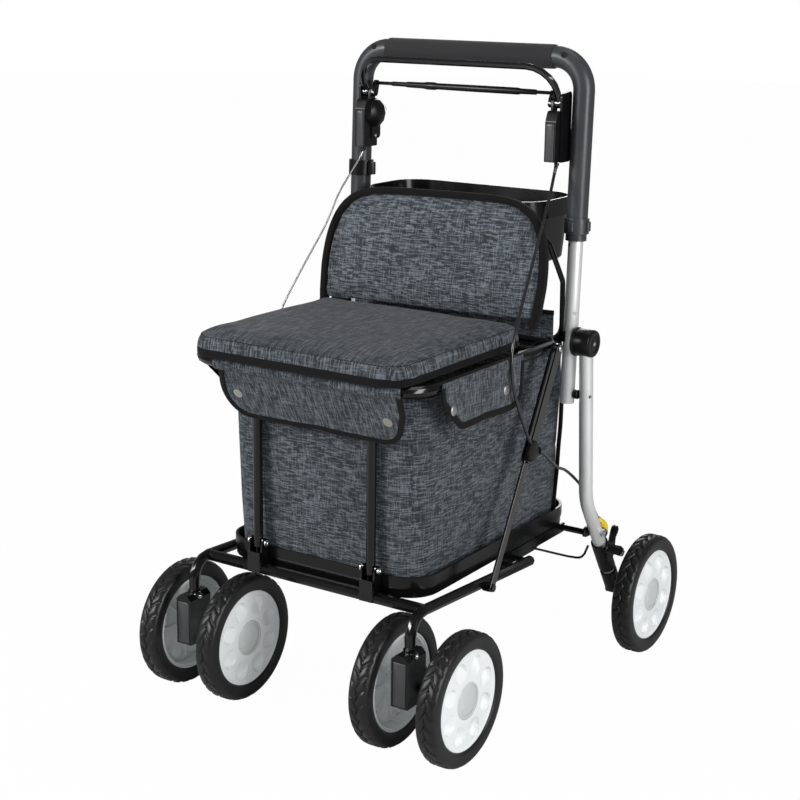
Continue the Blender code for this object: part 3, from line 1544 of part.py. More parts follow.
def make_flaps():
    """The front flap and the side flaps, which hang from the seat frame over the bag."""
    side_foot = SIDE_FLAP_TOP - SIDE_FLAP_DROP
    reach = HINGE_EAR_HEAD + GAP + FLAP_WALL / 2
    down = Vector((0, sin(FLAP_TILT), -cos(FLAP_TILT)))
    out = Vector((0, -cos(FLAP_TILT), -sin(FLAP_TILT)))
    top = Vector((0, SEAT_FRONT, SEAT_Z)) + out * reach - down * FLAP_RISE
    corners = [
        (-FLAP_TOP_HALF, 0, 0.003),
        (FLAP_TOP_HALF, 0, 0.003),
        (FLAP_TOP_HALF, FLAP_DROP * 0.62, 0.020),
        (FLAP_FOOT_HALF, FLAP_DROP, 0.020),
        (-FLAP_FOOT_HALF, FLAP_DROP, 0.020),
        (-FLAP_TOP_HALF, FLAP_DROP * 0.62, 0.020),
    ]
    frame = Matrix(
        ((1, 0, 0, 0), (0, down.y, out.y, top.y), (0, down.z, out.z, top.z), (0, 0, 0, 1))
    )
    place(flat(rounded_outline(corners, 4), FLAP_WALL, frame), "front_flap", SEAT, FABRIC)
    side = [
        (SIDE_FLAP_FRONT, SIDE_FLAP_TOP, 0.003),
        (SIDE_FLAP_FRONT + 0.003, side_foot + SIDE_FLAP_DROP * 0.63, 0.012),
        (SIDE_FLAP_FRONT + 0.047, side_foot + SIDE_FLAP_DROP * 0.03, 0.015),
        (SIDE_FLAP_REAR - 0.025, side_foot, 0.010),
        (SIDE_FLAP_REAR - 0.002, side_foot + SIDE_FLAP_DROP * 0.16, 0.008),
        (SIDE_FLAP_REAR, SIDE_FLAP_TOP, 0.003),
    ]
    x = SEAT_X + SEAT_TUBE_RADIUS + GAP + SIDE_FLAP_WALL / 2
    flap = side_plate(rounded_outline(side, 4), x, SIDE_FLAP_WALL)
    place_pair(flap, "side_flap", (SEAT, SEAT), FABRIC)


def make_cables():
    """The two brake cables, each with the ferrule at its lower end."""
    ferrule_top = Vector((FERRULE_X, FERRULE_Y, FERRULE_TOP))
    points = [
        (CABLE_START_X, 0.0994, HOUSING_FOOT - CABLE_RADIUS),
        (0.1635, 0.0880, 0.7260),
        (0.1670, 0.0753, 0.7099),
        (0.1725, 0.0503, 0.6790),
        (0.1760, 0.0218, 0.6350),
        (0.1850, -0.0250, 0.5750),
        (0.1925, -0.0630, 0.5210),
        (0.1955, -0.0685, 0.4825),
        (0.1985, -0.0608, 0.4460),
        (0.2035, -0.0362, 0.3927),
        (0.2045, -0.0175, 0.3710),
        (0.2045, 0.0140, 0.3526),
        (0.2015, 0.0550, 0.3250),
        (0.1985, 0.0925, 0.3090),
        (0.1975, 0.1350, 0.2800),
        (0.2000, 0.1720, 0.2500),
        (0.2075, 0.1890, 0.2300),
        ferrule_top - Vector((0, 0, 0.002)),
    ]
    cable = tube(smooth_route(points, CABLE_POINTS), CABLE_RADIUS, 8)
    ferrule = cylinder(ferrule_top, (FERRULE_X, FERRULE_Y, FERRULE_FOOT), FERRULE_RADIUS)
    place_pair(joined(cable, ferrule), "brake_cable", (LEGS, LEGS), CABLE_BLACK)


clear_scene()
PARTS = new_collection("shopping_rollator")

BLACK_STEEL = finish("black_steel", (0.012, 0.012, 0.013), 0.35)
GLOSS_BLACK = finish("gloss_black", (0.010, 0.010, 0.011), 0.18)
DARK_PAINT = finish("dark_handle_paint", (0.035, 0.036, 0.039), 0.48)
BLACK_PLASTIC = finish("black_plastic", (0.015, 0.015, 0.016), 0.5)
FOAM = finish("grip_foam", (0.035, 0.035, 0.038), 0.85)
ALUMINIUM = finish("satin_aluminium", (0.62, 0.63, 0.64), 0.32, 1.0)
TYRE = finish("tyre_foam", (0.045, 0.045, 0.047), 0.75)
DISC = finish("white_disc", (0.74, 0.77, 0.77), 0.35)
FABRIC = finish("grey_melange_fabric", (0.065, 0.078, 0.095), 0.95)
CABLE_BLACK = finish("cable_sheath", (0.014, 0.014, 0.015), 0.4)

BASE = new_axis("base_axis", (0, 0, 0))
LEGS = new_axis("axis_fold", (0, PIVOT_Y, PIVOT_Z), BASE)
POSTS = new_axis("axis_front_posts", (0, POST_Y, POST_FOOT_Z), BASE)
SEAT = new_axis("axis_seat", (0, POST_Y, POST_TOP_Z), POSTS)
LID = new_axis("axis_lid", (0, LID_Y, LID_Z), SEAT)
LOWER_STRUTS = new_axis("axis_lower_struts", (0, STRUT_FOOT_Y, STRUT_FOOT_Z), BASE)
UPPER_STRUTS = new_axis("axis_upper_struts", (0, STRUT_TOP_Y, SEAT_Z), SEAT)
HANDLE = new_axis("axis_handle", (0, upright(HANDLE_FOOT_Z).y, HANDLE_FOOT_Z), LEGS)
BRAKE_BAR = new_axis("axis_brake_bar", (0, LEVER_Y, LEVER_Z), HANDLE)
PARKING = new_axis("axis_parking_bar", (0, LEVER_Y, LEVER_Z), HANDLE)
BRAKES = new_axis("axis_brake_arms", (0, BRAKE_PIVOT_Y, BRAKE_PIVOT_Z), LEGS)
CASTERS = {
    side: new_axis(f"axis_caster_{side}", (sign * CASTER_X, CASTER_Y, SWIVEL_TOP), BASE)
    for side, sign in (("right", 1), ("left", -1))
}

make_wheels()
make_caster_forks()
make_caster_covers()
make_base_frame()
make_tray()
make_bag()
make_legs()
make_rear_crossbar()
make_rear_forks()
make_brake_mounts()
make_brake_arms()
make_uprights()
make_leg_knobs()
make_pivot_brackets()
make_front_posts()
make_seat_frame()
make_struts()
make_handle()
make_collars()
make_brake_housings()
make_brake_bar()
make_parking_bar()
make_cane_clamp()
make_seat()
make_backrest()
make_bow()
make_bin()
make_flaps()
make_cables()
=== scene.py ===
"""Finishes, soft goods, wheels and small fittings of the shopping rollator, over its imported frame."""

import json
import logging
from collections.abc import Callable, Sequence
from dataclasses import dataclass, field
from enum import Enum
from math import atan2, copysign, cos, exp, hypot, pi, radians, sin

import bmesh
import bpy
from mathutils import Matrix, Vector, noise
from mathutils.bvhtree import BVHTree

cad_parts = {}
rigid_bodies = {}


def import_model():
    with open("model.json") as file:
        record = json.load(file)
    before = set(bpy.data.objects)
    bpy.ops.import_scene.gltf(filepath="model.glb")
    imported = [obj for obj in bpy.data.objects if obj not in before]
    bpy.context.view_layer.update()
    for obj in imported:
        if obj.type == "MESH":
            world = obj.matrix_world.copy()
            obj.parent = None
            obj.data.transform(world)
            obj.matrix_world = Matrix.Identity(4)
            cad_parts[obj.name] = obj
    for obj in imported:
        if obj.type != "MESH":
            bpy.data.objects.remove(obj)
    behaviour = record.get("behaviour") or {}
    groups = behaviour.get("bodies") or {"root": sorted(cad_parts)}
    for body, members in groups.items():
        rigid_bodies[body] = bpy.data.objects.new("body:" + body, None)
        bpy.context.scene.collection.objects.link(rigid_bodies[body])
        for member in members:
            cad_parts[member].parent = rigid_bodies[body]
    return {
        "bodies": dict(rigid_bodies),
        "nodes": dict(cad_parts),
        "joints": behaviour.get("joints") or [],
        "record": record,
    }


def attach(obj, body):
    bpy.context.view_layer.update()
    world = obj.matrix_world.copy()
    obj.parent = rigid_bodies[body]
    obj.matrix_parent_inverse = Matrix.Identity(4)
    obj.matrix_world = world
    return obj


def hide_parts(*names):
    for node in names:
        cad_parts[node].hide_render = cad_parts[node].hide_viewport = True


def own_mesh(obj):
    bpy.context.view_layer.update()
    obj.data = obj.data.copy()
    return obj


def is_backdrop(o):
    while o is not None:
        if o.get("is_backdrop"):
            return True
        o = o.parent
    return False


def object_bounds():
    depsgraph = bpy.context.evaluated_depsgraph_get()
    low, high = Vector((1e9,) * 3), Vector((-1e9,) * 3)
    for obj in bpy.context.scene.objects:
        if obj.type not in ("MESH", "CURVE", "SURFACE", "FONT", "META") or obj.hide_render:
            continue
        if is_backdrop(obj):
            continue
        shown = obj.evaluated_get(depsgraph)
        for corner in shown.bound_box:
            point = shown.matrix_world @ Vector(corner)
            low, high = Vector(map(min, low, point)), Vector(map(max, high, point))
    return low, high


LOG = logging.getLogger("rollator")
Point = tuple[float, float, float]
Pair = tuple[float, float]
Outline = Sequence[Pair]
Rows = Sequence[Sequence[Vector]]
Colour = tuple[float, float, float]
Mesh = bpy.types.Mesh
Piece = bpy.types.Object

SIDES = (("right", 1), ("left", -1))
ACROSS = Vector((1, 0, 0))
REARWARD = Vector((0, 1, 0))
UP = Vector((0, 0, 1))
BACK_LEAN = radians(13)
BACK_FOOT = Vector((0, 0.0253, 0.527))
BACK_UP = Vector((0, sin(BACK_LEAN), cos(BACK_LEAN)))
BACK_OUT = Vector((0, -cos(BACK_LEAN), sin(BACK_LEAN)))


def clamped(value: float) -> float:
    """Return a value kept between 0 and 1."""
    return min(1.0, max(0.0, value))


def following(line: Sequence[object]) -> list[object]:
    """Return the next point of each point of a closed line."""
    return [*line[1:], line[0]]


class Grain(Enum):
    """The small relief of a surface."""

    SPRAYED = "sprayed"
    PEBBLED = "pebbled"
    BRUSHED = "brushed"
    FOAMED = "foamed"


class Run(Enum):
    """The direction in which the long slubs of a cloth run."""

    ACROSS = "across"
    DOWN = "down"


class ShaderSheet:
    """One material's node tree, with short calls that add and link nodes."""

    def __init__(self, name: str) -> None:
        """Start a material of this name."""
        self.material = bpy.data.materials.new(name)
        self.material.use_nodes = True
        self.tree = self.material.node_tree
        self.shader = self.tree.nodes["Principled BSDF"]
        self.place = self.add("ShaderNodeTexCoord")

    def add(self, kind: str, **settings: object) -> bpy.types.Node:
        """Add a node of a kind, set these attributes on it, and return it."""
        node = self.tree.nodes.new(kind)
        for key, value in settings.items():
            setattr(node, key, value)
        return node

    def join(self, source: object, target: object) -> None:
        """Link a socket to an input, or set the input's own value."""
        if isinstance(source, bpy.types.NodeSocket):
            self.tree.links.new(source, target)
        else:
            target.default_value = source

    def drive(self, name: str, source: object) -> None:
        """Link a socket to one of the shader's inputs, or set its own value."""
        self.join(source, self.shader.inputs[name])

    def maths(self, operation: str, *values: object) -> object:
        """Return the result of a Math node on these sockets or numbers."""
        node = self.add("ShaderNodeMath", operation=operation)
        for value, target in zip(values, node.inputs):
            self.join(value, target)
        return node.outputs[0]

    def mapped(self, kind: str, scale: object, where: object = None, **settings: object) -> bpy.types.Node:
        """Add a node that reads coordinates.

        Args:
            kind: The node's type.
            scale: Its scale, a number or one for each axis.
            where: The socket of the coordinates, or None for the object's own.
            settings: Attributes to set on it.

        Returns:
            The node.
        """
        node = self.add(kind, **settings)
        self.join(where or self.place.outputs["Object"], node.inputs["Vector"])
        node.inputs["Scale"].default_value = scale
        return node

    def blotches(self, scale: float, detail: float, where: object = None) -> object:
        """Return a noise between 0 and 1, with so many blotches in a metre and so many finer octaves."""
        node = self.mapped("ShaderNodeTexNoise", scale, where)
        node.inputs["Detail"].default_value = detail
        return node.outputs[0]

    def between(self, share: object, low: Colour, high: Colour) -> object:
        """Return a colour between two others; a share of 0 gives the low one."""
        node = self.add("ShaderNodeMix", data_type="RGBA")
        self.join(share, node.inputs[0])
        self.join((*low, 1.0), node.inputs[6])
        self.join((*high, 1.0), node.inputs[7])
        return node.outputs[2]

    def spread(self, value: object, low: float, high: float, to_low: float, to_high: float) -> object:
        """Return a value moved from one range to another, and kept in it."""
        node = self.add("ShaderNodeMapRange")
        for number, target in zip((value, low, high, to_low, to_high), node.inputs):
            self.join(number, target)
        return node.outputs[0]

    def relief(self, height: object, distance: float, strength: float = 1.0) -> None:
        """Give the shader a bump.

        Args:
            height: The socket of the height, from 0 to 1.
            distance: The depth of a height of 1, in metres.
            strength: How much of the bump shows.
        """
        node = self.add("ShaderNodeBump")
        node.inputs["Strength"].default_value = strength
        node.inputs["Distance"].default_value = distance
        self.join(height, node.inputs["Height"])
        self.drive("Normal", node.outputs[0])

    def constants(self, **values: float) -> None:
        """Set sockets of the shader that are the same all over; names use _ for spaces."""
        for key, value in values.items():
            self.drive(key.replace("_", " ").title().replace("Ior", "IOR"), value)


@dataclass(frozen=True)
class HardFinish:
    """Paint, metal, moulded plastic, rubber or foam, with grain and uneven gloss."""

    name: str
    slot: str
    colour: Colour
    shade: Colour
    roughness: float
    spread: float
    grain: Grain
    grain_scale: float
    depth: float
    metallic: float = 0.0
    coat: float = 0.0
    sheen: float = 0.0
    specular: float = 0.5
    sharp: float = 40.0
    cloud_scale: float = 14.0
    fine_tint: float = 0.35
    fine_gloss: float = 0.4
    brushing: Point = (1.0, 1.0, 0.03)
    coat_roughness: float = 0.12
    sheen_roughness: float = 0.5

    def material(self) -> bpy.types.Material:
        """Return the material of this finish."""
        sheet = ShaderSheet(self.name)
        cloud = sheet.spread(sheet.blotches(self.cloud_scale, 4.0), 0.3, 0.7, 0.0, 1.0)
        if self.grain is Grain.FOAMED:
            fine = sheet.mapped("ShaderNodeTexVoronoi", self.grain_scale).outputs["Distance"]
        elif self.grain is Grain.BRUSHED:
            brushed = sheet.mapped("ShaderNodeMapping", self.brushing).outputs[0]
            fine = sheet.blotches(self.grain_scale, 2.0, brushed)
        else:
            fine = sheet.blotches(self.grain_scale, 2.0)
        cloudy = sheet.maths("MULTIPLY", cloud, 1 - self.fine_tint)
        tint = sheet.maths("MULTIPLY_ADD", fine, self.fine_tint, cloudy)
        sheet.drive("Base Color", sheet.between(tint, self.shade, self.colour))
        uneven = sheet.maths("MULTIPLY", cloud, 1 - self.fine_gloss)
        uneven = sheet.maths("ADD", uneven, sheet.maths("MULTIPLY", fine, self.fine_gloss))
        ends = (self.roughness - self.spread / 2, self.roughness + self.spread / 2)
        sheet.drive("Roughness", sheet.spread(uneven, 0.2, 0.8, *ends))
        sheet.relief(fine, self.depth)
        sheet.constants(metallic=self.metallic, coat_weight=self.coat, sheen_weight=self.sheen)
        sheet.constants(coat_roughness=self.coat_roughness, sheen_roughness=self.sheen_roughness)
        sheet.constants(specular_ior_level=self.specular)
        return sheet.material


@dataclass(frozen=True)
class MelangeCloth:
    """A heather weave: dark threads with paler slubs along and across the cloth, and painted shade on the
    faces that look up.
    """

    name: str
    dark: Colour = (0.024, 0.029, 0.035)
    light: Colour = (0.190, 0.215, 0.242)
    run: Run = Run.ACROSS
    # Painted shade: the share of the colour kept on faces that look up; below 1 darkens the top as if less
    # light fell on it.
    painted_top_shade: float = 1.0
    slub_length: float = 0.010
    thread: float = 0.0013
    weft_power: float = 1.6
    warp_power: float = 2.4
    warp_share: float = 0.30
    weft_share: float = 0.52
    fleck_share: float = 0.14
    cloud_share: float = 0.20
    fleck_scale: float = 700.0
    cloud_scale: float = 26.0
    weave_depth: float = 0.00028
    slot: str = "melange_fabric"
    sharp: float = 60.0

    def flat_place(self, sheet: ShaderSheet) -> tuple[object, object, object]:
        """Find the place on the cloth, from the side that each face looks to.

        Args:
            sheet: The material's sheet.

        Returns:
            The sockets of the place across and down the cloth, in metres, and 1 on upward faces.
        """
        facing = sheet.add("ShaderNodeSeparateXYZ")
        sheet.join(sheet.place.outputs["Normal"], facing.inputs[0])
        spot = sheet.add("ShaderNodeSeparateXYZ")
        sheet.join(sheet.place.outputs["Object"], spot.inputs[0])
        along_x, along_y, along_z = (sheet.maths("ABSOLUTE", out) for out in facing.outputs)
        side = sheet.maths("GREATER_THAN", along_x, along_y)
        top = sheet.maths("GREATER_THAN", along_z, sheet.maths("MAXIMUM", along_x, along_y))
        x, y, z = spot.outputs

        def pick(choice: object, low: object, high: object) -> object:
            """Return low where the choice is 0 and high where it is 1."""
            return sheet.maths("MULTIPLY_ADD", choice, sheet.maths("SUBTRACT", high, low), low)

        across = pick(top, pick(side, x, y), x)
        down = pick(top, z, y)
        return (across, down, top) if self.run is Run.ACROSS else (down, across, top)

    def slubs(self, sheet: ShaderSheet, long: object, short: object, seed: float) -> object:
        """Return the shade of each thread, which changes from one short slub to the next.

        Args:
            sheet: The material's sheet.
            long: The place along the threads.
            short: The place across them.
            seed: A number that is different for each set of threads.

        Returns:
            The socket of the shade, from 0 to 1.
        """
        row = sheet.maths("FLOOR", sheet.maths("MULTIPLY", short, 1.0 / self.thread))
        shift = sheet.add("ShaderNodeTexWhiteNoise", noise_dimensions="1D")
        sheet.join(sheet.maths("ADD", row, seed), shift.inputs["W"])
        along = sheet.maths("MULTIPLY_ADD", long, 1.0 / self.slub_length, shift.outputs["Value"])
        joined = sheet.add("ShaderNodeCombineXYZ")
        for value, target in zip((sheet.maths("FLOOR", along), row, seed), joined.inputs):
            sheet.join(value, target)
        shade = sheet.add("ShaderNodeTexWhiteNoise", noise_dimensions="3D")
        sheet.join(joined.outputs[0], shade.inputs["Vector"])
        return shade.outputs["Value"]

    def material(self) -> bpy.types.Material:
        """Return the material of this cloth."""
        sheet = ShaderSheet(self.name)
        across, down, top = self.flat_place(sheet)
        weft = sheet.maths("POWER", self.slubs(sheet, across, down, 3.0), self.weft_power)
        warp = sheet.maths("POWER", self.slubs(sheet, down, across, 71.0), self.warp_power)
        fleck = sheet.spread(sheet.blotches(self.fleck_scale, 2.0), 0.3, 0.75, 0.0, 1.0)
        cloud = sheet.blotches(self.cloud_scale, 3.0)
        mixed = sheet.maths("MULTIPLY", warp, self.warp_share)
        for part, share in ((weft, self.weft_share), (fleck, self.fleck_share), (cloud, self.cloud_share)):
            mixed = sheet.maths("MULTIPLY_ADD", part, share, mixed)
        # Painted shade: faces that look up are darkened by painted_top_shade.
        painted_top_dimming = sheet.maths("MULTIPLY_ADD", top, self.painted_top_shade - 1.0, 1.0)
        share = sheet.maths("MULTIPLY", sheet.spread(mixed, 0.26, 1.05, 0.0, 1.0), painted_top_dimming)
        sheet.drive("Base Color", sheet.between(share, self.dark, self.light))
        count = 2 * pi / self.thread
        waves = [sheet.maths("SINE", sheet.maths("MULTIPLY", way, count)) for way in (across, down)]
        weave = sheet.spread(sheet.maths("MULTIPLY", *waves), -1.0, 1.0, 0.0, 0.6)
        sheet.relief(sheet.maths("MULTIPLY_ADD", weft, 0.4, weave), self.weave_depth, 0.8)
        sheet.drive("Roughness", sheet.spread(fleck, 0.0, 1.0, 0.80, 0.95))
        sheet.constants(sheen_weight=0.07, sheen_roughness=0.6, specular_ior_level=0.14)
        return sheet.material


@dataclass(frozen=True)
class RibbedTape:
    """The black woven tape that binds the edges of the cloth."""

    name: str = "binding_tape"
    dark: Colour = (0.003, 0.003, 0.0035)
    light: Colour = (0.010, 0.010, 0.011)
    rib: float = 0.0012
    depth: float = 0.00035
    fuzz_scale: float = 800.0
    slot: str = "melange_fabric"
    sharp: float = 60.0

    def material(self) -> bpy.types.Material:
        """Return the material of the tape."""
        sheet = ShaderSheet(self.name)
        fuzz = sheet.blotches(self.fuzz_scale, 3.0)
        share = sheet.spread(fuzz, 0.3, 0.75, 0.0, 1.0)
        sheet.drive("Base Color", sheet.between(share, self.dark, self.light))
        ribs = sheet.mapped("ShaderNodeTexVoronoi", 1.0 / self.rib).outputs["Distance"]
        sheet.relief(sheet.maths("MULTIPLY_ADD", fuzz, 0.5, ribs), self.depth, 0.8)
        sheet.drive("Roughness", sheet.spread(fuzz, 0.0, 1.0, 0.75, 0.95))
        sheet.constants(sheen_weight=0.06, sheen_roughness=0.5, specular_ior_level=0.12)
        return sheet.material


@dataclass(frozen=True)
class PaleBandedCable:
    """Pale grey metal in diagonal bands over a strand relief; the pale grey and the bright bands are painted
    reflection, standing in for the highlights on a glossy black cable sheath.
    """

    name: str = "cable_painted_sheen"
    dark: Colour = (0.22, 0.22, 0.23)
    light: Colour = (0.62, 0.62, 0.64)
    pitch: float = 0.0016
    depth: float = 0.0002
    slot: str = "cable_sheath"
    sharp: float = 40.0

    def material(self) -> bpy.types.Material:
        """Return the material of the pale banded cable."""
        sheet = ShaderSheet(self.name)
        bands = {"wave_type": "BANDS", "bands_direction": "DIAGONAL"}
        strand = sheet.mapped("ShaderNodeTexWave", 0.3 / self.pitch, **bands).outputs["Fac"]
        sheet.drive("Base Color", sheet.between(strand, self.dark, self.light))
        sheet.drive("Roughness", sheet.spread(strand, 0, 1, 0.25, 0.4))
        sheet.relief(strand, self.depth)
        sheet.constants(metallic=1.0)
        return sheet.material


SPRAYED, PEBBLED, BRUSHED, FOAMED = Grain
FINISHES: tuple[HardFinish | MelangeCloth | RibbedTape | PaleBandedCable, ...] = (
    HardFinish("black_steel", "black_steel", (0.0035, 0.0035, 0.0040), (0.0020, 0.0020, 0.0024),
               0.17, 0.08, SPRAYED, 420.0, 0.00003, coat=0.35, specular=0.30),
    HardFinish("gloss_black", "black_steel", (0.0035, 0.0035, 0.0040), (0.0020, 0.0020, 0.0024),
               0.14, 0.05, SPRAYED, 300.0, 0.00002, coat=0.9),
    HardFinish("handle_paint", "dark_handle_paint", (0.046, 0.048, 0.052), (0.036, 0.038, 0.042),
               0.36, 0.08, PEBBLED, 1500.0, 0.00005),
    HardFinish("black_plastic", "black_plastic", (0.0060, 0.0060, 0.0068), (0.0035, 0.0035, 0.0040),
               0.34, 0.12, PEBBLED, 1300.0, 0.00007, specular=0.32),
    HardFinish("bright_plastic", "black_plastic", (0.0045, 0.0045, 0.0052), (0.0028, 0.0028, 0.0032),
               0.20, 0.10, SPRAYED, 260.0, 0.00003, coat=0.15, specular=0.28),
    HardFinish("satin_face", "black_plastic", (0.060, 0.061, 0.064), (0.040, 0.041, 0.044),
               0.36, 0.10, PEBBLED, 1500.0, 0.00005),
    HardFinish("grip_foam", "grip_foam", (0.019, 0.018, 0.021), (0.010, 0.010, 0.012),
               0.80, 0.08, FOAMED, 1300.0, 0.00022, sheen=0.12),
    HardFinish("satin_aluminium", "satin_aluminium", (0.86, 0.87, 0.87), (0.78, 0.79, 0.79),
               0.42, 0.10, BRUSHED, 1600.0, 0.00002, metallic=0.5),
    HardFinish("bright_steel", "satin_aluminium", (0.72, 0.71, 0.69), (0.55, 0.54, 0.52),
               0.22, 0.12, SPRAYED, 900.0, 0.00003, metallic=1.0),
    HardFinish("satin_nickel", "satin_aluminium", (0.60, 0.58, 0.56), (0.46, 0.45, 0.43),
               0.46, 0.10, SPRAYED, 900.0, 0.00003, metallic=1.0),
    HardFinish("tyre_foam", "tyre_foam", (0.012, 0.012, 0.013), (0.007, 0.007, 0.008),
               0.40, 0.16, PEBBLED, 700.0, 0.00009, sheen=0.03, specular=0.42),
    HardFinish("white_disc", "white_disc", (0.90, 0.93, 0.93), (0.84, 0.87, 0.88),
               0.36, 0.10, PEBBLED, 800.0, 0.00005),
    HardFinish("frosted_cap", "white_disc", (0.66, 0.69, 0.68), (0.56, 0.60, 0.60),
               0.26, 0.10, PEBBLED, 500.0, 0.00008),
    HardFinish("yellow_plastic", "cable_sheath", (0.83, 0.60, 0.015), (0.70, 0.46, 0.010),
               0.35, 0.08, PEBBLED, 900.0, 0.00004),
    HardFinish("cable_sheath", "cable_sheath", (0.018, 0.018, 0.020), (0.010, 0.010, 0.011),
               0.22, 0.06, SPRAYED, 700.0, 0.00003, coat=0.5),
    # Painted shade: near black, worn by thin discs and screw heads that stand for the shade inside holes and
    # recesses.
    HardFinish("painted_hole_shade", "satin_aluminium", (0.006, 0.006, 0.006), (0.003, 0.003, 0.003),
               0.8, 0.10, PEBBLED, 900.0, 0.00003),
    MelangeCloth("cloth_across"),
    MelangeCloth("cloth_down", run=Run.DOWN),
    # The cushion's top is painted darker: painted shade.
    MelangeCloth("cloth_seat", run=Run.DOWN, painted_top_shade=0.58, slub_length=0.013, thread=0.0016),
    # Painted light: the same melange about 1.4 times lighter, so the backrest reads as if more light fell on
    # it.
    MelangeCloth("cloth_back_painted_light", dark=(0.028, 0.034, 0.041), light=(0.235, 0.267, 0.300)),
    MelangeCloth("cloth_lining", dark=(0.020, 0.021, 0.022), light=(0.10, 0.10, 0.105)),
    RibbedTape(),
    PaleBandedCable(),
)


def new_piece(name: str, mesh: Mesh | bpy.types.Curve, place: Matrix | None = None) -> Piece:
    """Add a mesh or curve to the scene as an object, at a matrix or at the origin."""
    piece = bpy.data.objects.new(name, mesh)
    bpy.context.scene.collection.objects.link(piece)
    if place is not None:
        piece.matrix_world = place
    bpy.context.view_layer.update()
    return piece


@dataclass
class Wardrobe:
    """Every finish of the rollator, made once, and the calls that dress pieces in them."""

    made: dict[str, bpy.types.Material] = field(default_factory=dict)

    def open(self) -> None:
        """Make every finish's material."""
        for finish in FINISHES:
            self.made[finish.name] = finish.material()

    def wear(
        self, piece: Piece, wanted: str, body: str, stands_for: str = "", sharp: float = 0.0, slot: str = ""
    ) -> Piece:
        """Dress a piece, set it on its body and report it.

        Args:
            piece: The piece, in place in the row frame.
            wanted: The finish's name.
            body: The body that carries it.
            stands_for: The CAD node that it replaces, if any.
            sharp: Edges sharper than this many degrees stay sharp; 0 for the finish's own limit.
            slot: The record's material slot, if it isn't the finish's own; not used.

        Returns:
            The piece.
        """
        finish = next(one for one in FINISHES if one.name == wanted)
        piece.data.materials.clear()
        piece.data.materials.append(self.made[wanted])
        if piece.type == "MESH":
            piece.data.shade_smooth()
            piece.data.set_sharp_from_angle(angle=radians(sharp or finish.sharp))
        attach(piece, body)
        if stands_for:
            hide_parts(stands_for)
        slot or finish.slot
        LOG.info("piece %s on %s", piece.name, body)
        return piece

    def add(
        self, name: str, mesh: Mesh, wanted: str, body: str, place: Matrix | None = None, **rest: str | float
    ) -> Piece:
        """Add a mesh as a piece at a matrix, dressed; the rest goes to wear."""
        return self.wear(new_piece(name, mesh, place), wanted, body, **rest)


def from_lists(name: str, points: Sequence[Vector], faces: Sequence[Sequence[int]]) -> Mesh:
    """Return a mesh with its faces turned outwards."""
    mesh = bpy.data.meshes.new(name)
    mesh.from_pydata([tuple(point) for point in points], [], faces)
    shape = bmesh.new()
    shape.from_mesh(mesh)
    bmesh.ops.remove_doubles(shape, verts=shape.verts, dist=1e-6)
    bmesh.ops.recalc_face_normals(shape, faces=shape.faces)
    shape.to_mesh(mesh)
    shape.free()
    return mesh


def skin(name: str, rows: Rows, around: bool = True, wrap: bool = False, capped: bool = False) -> Mesh:
    """Join rows of points by faces.

    Args:
        name: The mesh's name.
        rows: The rows, all with the same number of points.
        around: True where each row is a closed ring.
        wrap: True where the last row joins the first.
        capped: True where the first and the last row get a face each.

    Returns:
        The mesh.
    """
    size = len(rows[0])
    faces = []
    for i in range(len(rows) if wrap else len(rows) - 1):
        here = i * size
        there = (i + 1) % len(rows) * size
        for j in range(size if around else size - 1):
            k = (j + 1) % size
            faces.append((here + j, here + k, there + k, there + j))
    if capped:
        faces += [tuple(range(size)), tuple(range((len(rows) - 1) * size, len(rows) * size))]
    return from_lists(name, [point for row in rows for point in row], faces)


def two_sided(name: str, front: Rows, back: Rows) -> Mesh:
    """Return a closed thin cloth between two grids of points of the same size."""
    width = len(front[0])
    height = len(front)
    step = width * height
    faces = []
    for a in (row * width + column for row in range(height - 1) for column in range(width - 1)):
        faces.append((a, a + 1, a + width + 1, a + width))
        faces.append((step + a, step + a + width, step + a + width + 1, step + a + 1))
    edge = [row * width for row in range(height)]
    edge += [(height - 1) * width + column for column in range(1, width)]
    edge += [row * width + width - 1 for row in range(height - 2, -1, -1)]
    edge += list(range(width - 2, 0, -1))
    faces += [(a, b, step + b, step + a) for a, b in zip(edge, following(edge))]
    return from_lists(name, [point for grid in (front, back) for row in grid for point in row], faces)


def lathe(name: str, profile: Outline | Callable[[float], Outline], steps: int) -> Mesh:
    """Turn a profile round the Z axis.

    Args:
        name: The mesh's name.
        profile: Points (radius, height) from one end to the other, or a call that gives them at an angle.
        steps: How many steps make the full turn.

    Returns:
        The mesh.
    """
    rows = []
    for step in range(steps):
        turn = 2 * pi * step / steps
        points = profile(turn) if callable(profile) else profile
        rows.append([Vector((radius * cos(turn), radius * sin(turn), height)) for radius, height in points])
    return skin(name, rows, around=False, wrap=True)


def carried(route: Sequence[Vector], section: Outline, up: Vector, closed: bool = False) -> Rows:
    """Carry a section along a route.

    Args:
        route: The points of the route.
        section: Points (along up, sideways) of the closed section.
        up: The direction of the section's first coordinate.
        closed: True where the route ends where it starts.

    Returns:
        The ring of points at each point of the route.
    """
    count = len(route)
    rings = []
    for i, point in enumerate(route):
        before = route[i - 1] if closed or i else point
        after = route[(i + 1) % count] if closed or i < count - 1 else point
        along = (after - before).normalized()
        side = along.cross(up).normalized()
        rise = side.cross(along)
        rings.append([point + rise * u + side * v for u, v in section])
    return rings


def sweep(name: str, route: Sequence[Vector], section: Outline, up: Vector, closed: bool = False) -> Mesh:
    """Return the solid that a section leaves along a route; see carried for the arguments."""
    return skin(name, carried(route, section, up, closed), wrap=closed, capped=not closed)


def oval(up: float, side: float, steps: int = 10, square: float = 1.0) -> list[Pair]:
    """Return an oval section with these two half sizes; below 1, square makes it boxier."""

    def blunt(value: float) -> float:
        """Return the value pushed towards 1 or -1."""
        return copysign(abs(value) ** square, value)

    turns = [2 * pi * i / steps for i in range(steps)]
    return [(up * blunt(cos(turn)), side * blunt(sin(turn))) for turn in turns]


